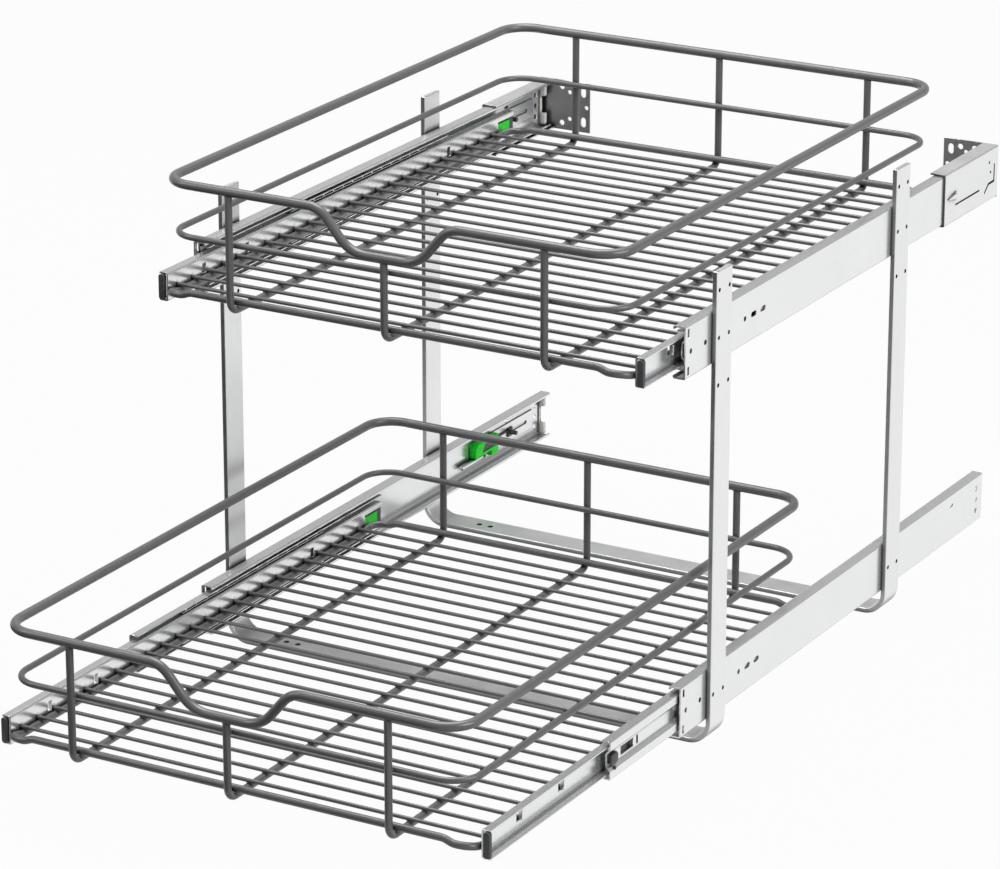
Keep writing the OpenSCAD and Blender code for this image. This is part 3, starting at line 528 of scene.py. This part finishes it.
def grain_group():
    """Rolled and plated steel: long streaks along one axis, with soft clouds and a few darker flecks."""

    def fill(n, i):
        stretched = n.add("ShaderNodeVectorMath", {0: i["Place"], 1: i["Stretch"]}, operation="MULTIPLY").outputs[0]
        streaks = n.noise(stretched, 1.0, 5.0, 0.62)
        clouds = n.noise(i["Place"], 34.0, 3.0)
        flecks = n.noise(i["Place"], 900.0, 2.0, 0.7)
        height = n.total((streaks, 0.8), (flecks, 0.2))
        return n.total((streaks, 0.55), (clouds, 0.3), (flecks, 0.15)), n.bump(height, i["Depth"], 0.0002)

    inputs = [("Place", "Vector", None), ("Stretch", "Vector", (1.0, 1.0, 1.0)), ("Depth", "Float", 0.1)]
    return group("steel_grain", inputs, [("Mask", "Float"), ("Normal", "Vector")], fill)


def ripple_group():
    """Powder coat and moulded plastic: a fine ripple like orange peel, with soft patches."""

    def fill(n, i):
        peel = n.noise(i["Place"], i["Scale"], 2.0, 0.55)
        fine = n.noise(i["Place"], n.math("MULTIPLY", i["Scale"], 4.3), 2.0)
        patches = n.noise(i["Place"], 26.0, 3.0)
        height = n.total((peel, 0.7), (fine, 0.3))
        return n.total((patches, 0.7), (fine, 0.3)), n.bump(height, i["Depth"], 0.0003)

    inputs = [("Place", "Vector", None), ("Scale", "Float", 700.0), ("Depth", "Float", 0.15)]
    return group("coat_ripple", inputs, [("Mask", "Float"), ("Normal", "Vector")], fill)


def painted_shade_group():
    """Painted shade, as a share from 0 to 1 that darkens the base colour. It is low in crevices and on undersides, both
    painted shade, and on faces across the slides' length, where the metal was cut. There it stands partly for the
    duller cut metal and partly for a painted dark reflection."""

    def fill(n, i):
        normal = n.add("ShaderNodeSeparateXYZ", {"Vector": n.add("ShaderNodeNewGeometry").outputs["Normal"]}).outputs
        # Painted shade in crevices: ambient occlusion darkens hollows and the gaps between parts
        openness = n.add("ShaderNodeAmbientOcclusion", {"Distance": i["Reach"]}, samples=8).outputs["AO"]
        hollow_shade = n.math("POWER", openness, i["Depth"])
        # Painted shade on undersides: faces turned down are darkened
        below = n.mapped(normal["Z"], -0.6, -0.2, i["Below"], 1.0)
        # Cut faces, turned along Y: darkened partly for the duller cut metal and partly as a painted dark reflection
        cut = n.math("MULTIPLY", n.math("POWER", n.math("ABSOLUTE", normal["Y"]), 3.0), i["Cut"])
        return (n.math("MULTIPLY", n.math("MULTIPLY", hollow_shade, below), n.math("SUBTRACT", 1.0, cut)),)

    inputs = [("Reach", "Float", 0.012), ("Depth", "Float", 1.0), ("Cut", "Float", 0.5), ("Below", "Float", 0.22)]
    return group("steel_wear", inputs, [("Share", "Float")], fill)


def surface(slot, tree, settings, colour, stops, roughness, wear, others):
    """A slot's material. The mask of a node group moves its colour over the stops and its roughness between two
    values. Where the painted shade leaves a low share the base colour is painted nearly black. The painted shade is
    given as (crevice reach and depth, cut, below), and others are more inputs of the shader."""
    (reach, depth), cut, below = wear
    material = bpy.data.materials.new(slot + "_finish")
    material.use_nodes = True
    n = Nodes(material.node_tree)
    shader = next(node for node in material.node_tree.nodes if node.type == "BSDF_PRINCIPLED")
    place = n.add("ShaderNodeTexCoord").outputs["Object"]
    look = n.add("ShaderNodeGroup", {"Place": place, **settings}, node_tree=tree).outputs
    colours = n.ramp(look["Mask"], [(at, shaded(colour, share)) for at, share in stops])
    painted_shade_inputs = {"Reach": reach, "Depth": depth, "Cut": cut, "Below": below}
    share = n.add("ShaderNodeGroup", painted_shade_inputs, node_tree=painted_shade_group()).outputs["Share"]
    # Painted shade and painted dark reflection: the base colour goes nearly black where the unshaded share is low
    base = n.mix(share, shaded(colour, 0.05), colours)
    rough = n.mapped(look["Mask"], 0.35, 0.65, *roughness)
    n.join(shader, {"Base Color": base, "Roughness": rough, "Normal": look["Normal"], **others})
    return material


def metal(slot, colour, rough, stretch, grain, spread=0.05, cut=0.0, crevice=(0.012, 1.0), metallic=1.0):
    """Plated or polished steel. The grain moves its colour and roughness a little to either side."""
    stops = [(0.36, 1 - 2 * spread), (0.5, 1), (0.64, 1 + spread)]
    # Painted shade: crevices and undersides (to 0.22) darkened, and cut faces darkened partly for the duller cut metal
    # and partly as a painted dark reflection
    return surface(slot, grain_group(), {"Stretch": stretch, "Depth": grain}, colour, stops,
                   (rough * 1.25, rough * 0.8), (crevice, cut, 0.22), {"Metallic": metallic})


def coated(slot, colour, rough, scale, ripple, spread=0.12, coat=0.0, shine=0.5, crevice=(0.003, 1.2), below=1.0):
    """Powder coat, moulded plastic or rubber."""
    stops = [(0.38, 1 - spread), (0.5, 1), (0.64, 1 + spread)]
    others = {"Coat Weight": coat, "Specular IOR Level": shine, "Coat Roughness": 0.18}
    # Painted shade: crevices darkened by ambient occlusion and undersides by below
    return surface(slot, ripple_group(), {"Scale": scale, "Depth": ripple}, colour, stops,
                   (rough * 1.12, rough * 0.9), (crevice, 0.0, below), others)


FINISHED = {}


def finish(slot):
    """The material of a slot, made when it is first asked for."""
    if slot in FINISHED:
        return FINISHED[slot]
    f = bpy.context.scene.basket_finishes
    rolled = dict(stretch=(2200.0, 9.0, 2200.0), grain=f.grain)
    # In these settings cut darkens the cut faces, partly for the duller cut metal and partly as a painted dark
    # reflection; crevice paints shade into hollows, and below paints shade on undersides
    rail = dict(rolled, rough=0.22, spread=0.015, cut=0.2, crevice=(0.003, 1.6), metallic=0.83)
    bar = dict(rough=0.34, stretch=(60.0, 700.0, 60.0), grain=f.grain, spread=0.012, cut=0.62, crevice=(0.005, 3.0),
               metallic=0.91)
    ball = dict(rough=0.10, stretch=(300.0,) * 3, grain=f.grain * 0.3, spread=0.02, crevice=(0.001, 1.0))
    wire = dict(rough=0.33, scale=750.0, ripple=f.coat_texture, spread=0.08, coat=0.12, below=0.3)
    green = dict(rough=0.36, scale=1500.0, ripple=0.05, spread=0.08, shine=0.25, crevice=(0.004, 1.5))
    nylon = dict(rough=0.42, scale=1200.0, ripple=0.05, spread=0.05, crevice=(0.004, 2.5))
    finishes = {
        "rail_steel": (metal, f.plating, rail),
        "frame_steel": (metal, f.bar_steel, bar),
        "cage_steel": (metal, f.cage_steel, dict(rolled, rough=0.34, spread=0.03, cut=0.3, crevice=(0.001, 1.0))),
        "base_steel": (metal, f.plating, dict(rolled, rough=0.30)),
        "damper_steel": (metal, f.plating, dict(rolled, rough=0.18, grain=f.grain * 0.5)),
        "rivet_steel": (metal, f.plating, dict(rough=0.32, stretch=(500.0,) * 3, grain=f.grain)),
        "ball_steel": (metal, f.ball_steel, ball),
        "wire_coating": (coated, f.coating, wire),
        "housing_plastic": (coated, f.green, green),
        "catch_plastic": (coated, f.green, green),
        "black_plastic": (coated, f.black, dict(rough=0.38, scale=1500.0, ripple=0.06, spread=0.15)),
        "stop_plastic": (coated, f.nylon, nylon),
        "bumper_rubber": (coated, f.rubber, dict(rough=0.55, scale=1700.0, ripple=0.12)),
    }
    if slot not in finishes:
        raise RuntimeError(f"No finish for the slot {slot}")
    make, colour, settings = finishes[slot]
    FINISHED[slot] = make(slot, tuple(colour), **settings)
    return FINISHED[slot]


# Wires


def rim_corners(tier):
    """(half width, front, rear, top) of a tier's rim at its wire's middle line."""
    low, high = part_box(f"{tier}_top_rim")
    r = bpy.context.scene.basket_sizes.rim_d / 2
    return high.x - r, low.y + r, high.y - r, high.z - r


def both_sides(half):
    """Corners on the right half, then the same on the left in return order."""
    half = np.asarray(half, float)
    return np.vstack([half, half[::-1] * [-1, 1, 1]])


class PieceOperator:
    """What the operators share: make() is called for each tier."""

    bl_options = {"REGISTER", "UNDO"}

    def execute(self, context):
        for tier in TIERS:
            self.make(context.scene.basket_sizes, tier)
        return {"FINISHED"}


class BASKET_OT_top_rims(PieceOperator, bpy.types.Operator):
    """Makes each basket's thick top rim, with the dip at its front"""

    bl_idname = "basket.top_rims"
    bl_label = "Top rims"

    def make(self, s, tier):
        x, front, rear, top = rim_corners(tier)
        x2 = s.scoop_w / 2 - s.scoop_top_r * math.tan(s.scoop_angle / 2)
        x1 = x2 - s.scoop_depth / math.tan(s.scoop_angle)
        half = [(x1, front, top - s.scoop_depth), (x2, front, top), (x, front, top), (x, rear, top)]
        radii = [s.scoop_low_r, s.scoop_top_r, s.corner_r, s.corner_r]
        path = bent_path(both_sides(half), radii + radii[::-1], True, RIM_STEPS)
        coated_wire(tier, "rim", [tube(*path, s.rim_d / 2, UP, True, THICK_SIDES)], "top_rim")


class BASKET_OT_mid_rails(PieceOperator, bpy.types.Operator):
    """Makes each basket's thin rail, halfway between floor and rim"""

    bl_idname = "basket.mid_rails"
    bl_label = "Middle rails"

    def make(self, s, tier):
        low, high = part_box(f"{tier}_mid_rail")
        r = s.mid_d / 2
        x, front, rear, z = high.x - r, low.y + r, high.y - r, (low.z + high.z) / 2
        path = bent_path(both_sides([(x, front, z), (x, rear, z)]), s.corner_r, True, RIM_STEPS)
        coated_wire(tier, "mid_rail", [tube(*path, r, UP, True, WIRE_SIDES)])


class BASKET_OT_floor_frames(PieceOperator, bpy.types.Operator):
    """Makes the wire round each basket's floor, whose two ends lie over the lengthwise wires"""

    bl_idname = "basket.floor_frames"
    bl_label = "Floor frames"

    def make(self, s, tier):
        box_low, box_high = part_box(f"{tier}_floor_frame")
        r = s.floor_d / 2
        x, front, rear = box_high.x - r, box_low.y + r, box_high.y - r
        high, low = box_high.z - r, box_low.z + r
        corner = high - s.dip_depth
        x2 = x - s.floor_r - s.dip_r * math.tan(s.dip_angle / 2) - s.wire_gap
        x1 = x2 - s.dip_depth / math.tan(s.dip_angle)
        half = [(x1, front, high), (x2, front, corner), (x, front, corner), (x, front + s.ramp, low)]
        half += [(across, front + rear - y, z) for across, y, z in half[::-1]]
        radii = [s.dip_r, s.dip_r, s.floor_r, s.dip_r]
        radii += radii[::-1]
        path = bent_path(both_sides(half), radii + radii[::-1], True, FRAME_STEPS)
        coated_wire(tier, "floor_frame", [tube(*path, r, UP, True, WIRE_SIDES)])


class BASKET_OT_u_wires(PieceOperator, bpy.types.Operator):
    """Makes the three lengthwise wires that turn up at both ends to the rim"""

    bl_idname = "basket.u_wires"
    bl_label = "U wires"

    end_edge = 0.25  # of the wire's radius

    def make(self, s, tier):
        low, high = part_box(f"{tier}_u_wires")
        r = s.runner_d / 2
        front, rear, z = low.y + r, high.y - r, low.z + r
        shells = []
        for k in (-1, 0, 1):
            x = k * s.runner_step
            front_top = high.z - (s.scoop_depth if k == 0 else 0)
            corners = [(x, front, front_top), (x, front, z), (x, rear, z), (x, rear, high.z)]
            path = bent_path(corners, s.runner_r, False, FRAME_STEPS)
            shells.append(tube(*path, r, ACROSS, False, WIRE_SIDES, r * self.end_edge))
        coated_wire(tier, "u_wires", shells)


def cross_places(s, tier):
    """(y of each floor wire, their height, their half length)."""
    low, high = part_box(f"{tier}_cross_wires")
    r = s.cross_d / 2
    return np.linspace(low.y + r, high.y - r, s.cross_count), (low.z + high.z) / 2, high.x


class BASKET_OT_cross_wires(PieceOperator, bpy.types.Operator):
    """Makes the thin wires across each basket's floor"""

    bl_idname = "basket.cross_wires"
    bl_label = "Floor wires"

    end_edge = 0.12  # of the wire's diameter

    def make(self, s, tier):
        places, z, half = cross_places(s, tier)
        ways = np.tile(ACROSS, (2, 1))
        shells = []
        for y in places:
            ends = np.array([(-half, y, z), (half, y, z)])
            shells.append(tube(ends, ways, s.cross_d / 2, UP, False, THIN_SIDES, s.cross_d * self.end_edge))
        coated_wire(tier, "cross_wires", shells)


class BASKET_OT_weld_beads(PieceOperator, bpy.types.Operator):
    """Makes the coated welds where the wires cross"""

    bl_idname = "basket.weld_beads"
    bl_label = "Weld beads"

    # Half sizes, as shares of the bead; across and along, an end's are shares of the wire's radius
    floor_weld, post_weld, end_weld = (1.15, 0.95, 0.55), (1.5, 0.6, 1.2), (1.12, 1.06, 0.8)

    def make(self, s, tier):
        places, z, _ = cross_places(s, tier)
        runner_low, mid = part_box(f"{tier}_u_wires")[0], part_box(f"{tier}_mid_rail")
        under = (z - s.cross_d / 2 + runner_low.z + s.runner_d) / 2
        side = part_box(f"{tier}_floor_frame")[1].x - s.floor_d / 2
        columns = [-side, -s.runner_step, 0.0, s.runner_step, side]
        crossings = np.stack(np.meshgrid(columns, places, [under], indexing="ij"), -1).reshape(-1, 3)
        _, front, rear, top = rim_corners(tier)
        bead, r = s.bead, s.runner_d / 2
        posts, ends = [], []
        for y, inward in ((front, 1), (rear, -1)):
            for k in (-1, 0, 1):
                scoop = s.scoop_depth if k == 0 and inward > 0 else 0
                posts.append((k * s.runner_step, y + inward * r, (mid[0].z + mid[1].z) / 2))
                ends.append((k * s.runner_step, y, top - s.rim_d / 2 - scoop))
        shells = [pebbles(crossings, np.multiply(self.floor_weld, bead), 3, 8),
                  pebbles(posts, np.multiply(self.post_weld, bead), 5, 12),
                  pebbles(ends, np.multiply(self.end_weld, (r, r, bead)), 5, 14)]
        piece(f"{tier}_weld_beads", f"{tier}_basket", "wire_coating", shells)


# Slides and soft close


class BASKET_OT_steelwork(PieceOperator, bpy.types.Operator):
    """Rounds the edges of the frames, the brackets, the rails and the soft-close bases"""

    bl_idname = "basket.steelwork"
    bl_label = "Steelwork"

    def make(self, s, tier):
        end = "front" if tier == "upper" else "rear"
        softened(f"{end}_u_frame", s.bar_edge)
        for part in ("outer_rail", "middle_rail", "inner_rail"):
            for side in SIDES.values():
                softened(f"{tier}_{side}_{part}", s.sheet_edge)
        if tier == "upper":
            for node in ("left_rear_bracket", "right_rear_bracket", "soft_close_bases"):
                softened(node, s.sheet_edge)


class BASKET_OT_lances(PieceOperator, bpy.types.Operator):
    """Makes the small three-cornered tab that is pressed out of each rear bracket"""

    bl_idname = "basket.lances"
    bl_label = "Bracket tabs"

    # Each corner: its place along the bracket as a share, its height, and the share of the rise that it stands out
    corners = np.array([(0.042, 0.0, 0.0001), (0.181, 0.0028, 1.0), (0.206, -0.0023, 1.0)])
    sunk = 0.0003

    def make(self, s, tier):
        if tier == "lower":
            return
        share, height, rise = self.corners.T
        shells = []
        for side, name in SIDES.items():
            low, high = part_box(f"{name}_rear_bracket")
            face = low.x if side < 0 else high.x
            y, z = low.y + share * (high.y - low.y), (low.z + high.z) / 2 + height
            top = np.stack([face + side * rise * s.tab_rise, y, z], 1)
            base = np.stack([np.full(3, face - side * self.sunk), y, z], 1)
            faces = [np.array([[0, 1, 2], [3, 5, 4]]), np.array([[0, 3, 4, 1], [1, 4, 5, 2], [2, 5, 3, 0]])]
            shells.append((np.vstack([top, base]), faces))
        piece("bracket_tabs", "frame", "rivet_steel", shells, (), PRESSED_SHARP)


class BASKET_OT_end_caps(PieceOperator, bpy.types.Operator):
    """Makes the soft caps in the front mouths of the inner rails"""

    bl_idname = "basket.end_caps"
    bl_label = "End caps"

    def make(self, s, tier):
        low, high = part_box(f"{tier}_bumpers")
        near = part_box(f"{tier}_right_outer_rail")[1].x - high.x
        half = (high.z - low.z) / 2
        outline = oblong(near, -half, near + s.cap_depth, half, s.cap_r)
        shells = [slab(outline, low.y, high.y, s.moulded_edge, at_slide(side, tier, (0, 2, 1))) for side in SIDES]
        piece(f"{tier}_end_caps", f"{tier}_basket", "bumper_rubber", shells, [f"{tier}_bumpers"], CAST_SHARP)


class BASKET_OT_latches(PieceOperator, bpy.types.Operator):
    """Makes the latch block in the front of each middle rail, with a mark on it and the small pin below it"""

    bl_idname = "basket.latches"
    bl_label = "Latch blocks"

    cut = 0.42  # of the block's half height, from each corner
    pin_edge = 0.00003
    # Mark and pin: how far before the block's middle and above its edge, radius, and depths from the block's face
    mark = (0.0012, 0.0006, 0.0008, -0.00005, 0.0005)
    pin = (0.0004, -0.0030, 0.0013, -0.0009, 0.0007)

    def make(self, s, tier):
        low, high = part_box(f"{tier}_latch_blocks")
        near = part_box(f"{tier}_right_outer_rail")[1].x - high.x
        half, front, rear = (high.z - low.z) / 2, low.y, high.y
        cut = half * self.cut
        outline = rounded([(front + cut, -half), (rear - cut, -half), (rear, cut - half), (rear, half - cut),
                           (rear - cut, half), (front + cut, half), (front, half - cut), (front, cut - half)],
                          s.latch_r, 4)
        blocks, pins = [], []
        for side in SIDES:
            place = at_slide(side, tier, (2, 0, 1))
            blocks.append(slab(outline, near, near + s.latch_depth, s.moulded_edge, place))
            for edge, (ahead, above, r, out, into) in ((0.0, self.mark), (-half, self.pin)):
                ring = circle((front + rear) / 2 - ahead, edge + above, r)
                pins.append(slab(ring, near + out, near + into, self.pin_edge, place, 2))
        body = f"{tier}_middle_rails"
        piece(f"{tier}_latch_levers", body, "black_plastic", blocks, [f"{tier}_latch_blocks"], CAST_SHARP)
        piece(f"{tier}_latch_pins", body, "bumper_rubber", pins, (), CAST_SHARP)


class BASKET_OT_soft_close(PieceOperator, bpy.types.Operator):
    """Rounds the moulded parts of the soft close and makes its dampers"""

    bl_idname = "basket.soft_close"
    bl_label = "Soft close"

    barrel_edge, rod_edge, seal_edge = 0.0006, 0.0003, 0.0014
    overlap = 0.001  # of the barrel and its seal
    barrel_inset = 0.0002  # of the barrel's radius from the seal's

    def make(self, s, tier):
        for part in ("soft_close_housing", "trigger"):
            for side in SIDES.values():
                softened(f"{tier}_{side}_{part}", s.moulded_edge)
        for part in ("catches", "catch_holders"):
            softened(f"{tier}_{part}", s.moulded_edge)
        if tier == "upper":
            self.make_dampers(s)
        else:
            softened("rear_stops", s.moulded_edge)

    def make_dampers(self, s):
        """Both tiers' dampers, which one node holds: a barrel, a rod out of its end and a seal between them. The lower
        tier's lie as far below the upper tier's as its rails do."""
        low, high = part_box("soft_close_dampers")
        ways, r = np.tile(ALONG, (2, 1)), s.damper_d / 2
        start, end = low.y, high.y - s.damper_rod
        heights = [sum(corner.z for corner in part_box(f"{tier}_right_outer_rail")) / 2 for tier in TIERS]
        barrels, seals = [], []
        for height in heights:
            z = height + (high.z - r) - heights[0]
            for side in SIDES:
                x, seal = side * (high.x - r), end - s.seal_len

                def rod(first, last, radius, sides, edge):
                    return tube(np.array([(x, first, z), (x, last, z)]), ways, radius, UP, False, sides, edge)

                barrels.append(rod(start, seal + self.overlap, r - self.barrel_inset, BARREL_SIDES, self.barrel_edge))
                barrels.append(rod(seal, high.y, r / 2, THIN_SIDES, self.rod_edge))
                seals.append(rod(seal, end, r, BARREL_SIDES, self.seal_edge))
        piece("damper_barrels", "frame", "damper_steel", barrels, ["soft_close_dampers"], TURNED_SHARP)
        piece("damper_seals", "frame", "bumper_rubber", seals, (), TURNED_SHARP)


class BASKET_OT_balls(PieceOperator, bpy.types.Operator):
    """Makes the slides' balls"""

    bl_idname = "basket.balls"
    bl_label = "Balls"

    rows = 4  # two cages, each with a row above and a row below

    def make(self, s, tier):
        for part, count in (("outer", s.outer_balls), ("inner", s.inner_balls)):
            points = array_of(frame["nodes"][f"{tier}_{part}_balls"].data.vertices, "co", 3, float)
            balls = points.reshape(count * self.rows, -1, 3)
            low, high = balls.min(1), balls.max(1)
            r = (high - low).max() / 2
            shells = [pebbles((low + high) / 2, (r, r, r), 5, 10)]
            piece(f"{tier}_{part}_ball_set", f"{tier}_{part}_cages", "ball_steel", shells, [f"{tier}_{part}_balls"])


class BASKET_OT_finishes(bpy.types.Operator):
    """Gives every construction node that still shows the finish of its slot"""

    bl_idname = "basket.finishes"
    bl_label = "Finishes"
    bl_options = {"REGISTER", "UNDO"}

    def execute(self, context):
        for node in frame["nodes"].values():
            for holder in node.material_slots:
                holder.material = finish(holder.material.name.split(".")[0])
        return {"FINISHED"}


# Floor, lamps, world and camera

FLOOR_HALF = 30
FLOOR_WHITE, FLOOR_GREY, CARD_GREY = 0.965, 0.25, 0.05
CARD_LIFT = 0.002
CARD_OUTLINE = ((-3.6, -3.6), (0.45, -3.6), (0.12, -0.56), (-0.27, -0.56), (-0.27, -0.18), (-3.6, -0.18))
LAMP_TARGET = (0, 0, 0.2)
LAMPS = (  # name, place, width and height, watts
    ("overhead_softbox", (-0.5, 0.3, 2.6), (2.0, 1.8), 88),
    ("right_softbox", (2.6, -0.4, 1.6), (1.8, 1.6), 60),
    ("left_softbox", (-2.2, -1.8, 1.9), (1.2, 1.2), 24),
)
# Grey of the sky by the height that is looked to, and its even grey for the rest of the light
SKY = ((0.0, 1.0), (0.03, 0.9), (0.13, 0.37), (0.4, 0.33), (1.0, 0.5))
SKY_LIGHT = 0.22
CAMERA_PLACE = (1.75686, -3.16905, 1.45123)
CAMERA_TILT, CAMERA_TURN = math.radians(90 - 19.52), math.radians(29.86)
CAMERA_LENS, CAMERA_SENSOR = 168.74, 36.0


class BASKET_OT_stage(bpy.types.Operator):
    """Sets up the pale floor, the soft lamps, the world and the camera"""

    bl_idname = "basket.stage"
    bl_label = "Stage"
    bl_options = {"REGISTER", "UNDO"}

    def floor_material(self):
        """White where it is seen, with the object's shadow kept, and plain grey to the rest of the light."""
        material = bpy.data.materials.new("studio_floor")
        n = emptied(material)
        share = n.math("MULTIPLY", n.seen(), FLOOR_WHITE)
        plain = n.add("ShaderNodeBsdfDiffuse", {"Color": grey(FLOOR_GREY)}).outputs[0]
        white = n.add("ShaderNodeEmission", {"Color": grey(1.0), "Strength": 1.0}).outputs[0]
        both = n.add("ShaderNodeMixShader", {0: share, 1: plain, 2: white}).outputs[0]
        n.add("ShaderNodeOutputMaterial", {"Surface": both})
        return material

    def card_material(self):
        """Nearly black, for the dark mirrored in the faces that look to the front left."""
        material = bpy.data.materials.new("dark_card")
        n = emptied(material)
        dark = n.add("ShaderNodeBsdfDiffuse", {"Color": grey(CARD_GREY)}).outputs[0]
        n.add("ShaderNodeOutputMaterial", {"Surface": dark})
        return material

    def card(self, name, outline, height, material, seen):
        """A level card. One that isn't seen shows in reflections alone."""
        mesh = bpy.data.meshes.new(name)
        mesh.from_pydata([(x, y, height) for x, y in outline], [], [tuple(range(len(outline)))])
        mesh.materials.append(material)
        made = put(name, mesh)
        made.visible_camera = made.visible_diffuse = made.visible_shadow = seen
        made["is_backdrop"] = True

    def lamp(self, name, place, size, power):
        """A soft lamp that looks at the object."""
        data = bpy.data.lights.new(name, "AREA")
        data.shape = "RECTANGLE"
        data.size, data.size_y = size
        data.energy = power
        made = put(name, data)
        made.location = place
        way = Vector(LAMP_TARGET) - Vector(place)
        made.rotation_euler = way.to_track_quat("-Z", "Y").to_euler()

    def world(self):
        """A sky, bright at its rim where it is seen or mirrored, and an even dim grey to the rest of the light."""
        made = bpy.data.worlds.new("studio")
        n = emptied(made)
        way = n.add("ShaderNodeTexCoord").outputs["Generated"]
        height = n.add("ShaderNodeSeparateXYZ", {"Vector": way}).outputs["Z"]
        sky = n.ramp(height, [(place, grey(value)) for place, value in SKY])
        light = n.mix(n.seen(), grey(SKY_LIGHT), sky)
        background = n.add("ShaderNodeBackground", {"Color": light, "Strength": 1.0}).outputs[0]
        n.add("ShaderNodeOutputWorld", {"Surface": background})
        return made

    def camera(self):
        data = bpy.data.cameras.new("camera")
        data.lens, data.sensor_width = CAMERA_LENS, CAMERA_SENSOR
        data.clip_end = 100
        made = put("camera", data)
        made.location = CAMERA_PLACE
        made.rotation_euler = (CAMERA_TILT, 0, CAMERA_TURN)
        return made

    def execute(self, context):
        scene = context.scene
        floor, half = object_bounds()[0].z, FLOOR_HALF
        square = ((-half, -half), (half, -half), (half, half), (-half, half))
        self.card("floor", square, floor, self.floor_material(), True)
        self.card("front_card", CARD_OUTLINE, floor + CARD_LIFT, self.card_material(), False)
        for lamp in LAMPS:
            self.lamp(*lamp)
        scene.world = self.world()
        scene.view_settings.view_transform = "Standard"
        scene.camera = self.camera()
        return {"FINISHED"}


OPERATORS = (BASKET_OT_top_rims, BASKET_OT_mid_rails, BASKET_OT_floor_frames, BASKET_OT_u_wires, BASKET_OT_cross_wires,
             BASKET_OT_weld_beads, BASKET_OT_steelwork, BASKET_OT_lances, BASKET_OT_end_caps, BASKET_OT_latches,
             BASKET_OT_soft_close, BASKET_OT_balls, BASKET_OT_finishes, BASKET_OT_stage)


class BASKET_PT_panel(bpy.types.Panel):
    """Lists the basket's sizes, finishes and piece groups"""

    bl_idname = "BASKET_PT_panel"
    bl_label = "Cabinet basket"
    bl_space_type = "VIEW_3D"
    bl_region_type = "UI"
    bl_category = "Basket"

    def draw(self, context):
        for operator in OPERATORS:
            self.layout.operator(operator.bl_idname)
        for settings in (context.scene.basket_sizes, context.scene.basket_finishes):
            column = self.layout.column()
            for name in settings.__annotations__:
                column.prop(settings, name)


CLASSES = (BasketSizes, BasketFinishes) + OPERATORS + (BASKET_PT_panel,)


def register():
    for item in CLASSES:
        bpy.utils.register_class(item)
    bpy.types.Scene.basket_sizes = PointerProperty(type=BasketSizes)
    bpy.types.Scene.basket_finishes = PointerProperty(type=BasketFinishes)


def unregister():
    del bpy.types.Scene.basket_finishes
    del bpy.types.Scene.basket_sizes
    for item in reversed(CLASSES):
        bpy.utils.unregister_class(item)


def main():
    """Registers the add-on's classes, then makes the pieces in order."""
    register()
    for operator in OPERATORS:
        family, call = operator.bl_idname.split(".")
        getattr(getattr(bpy.ops, family), call)()


if __name__ == "__main__":
    main()
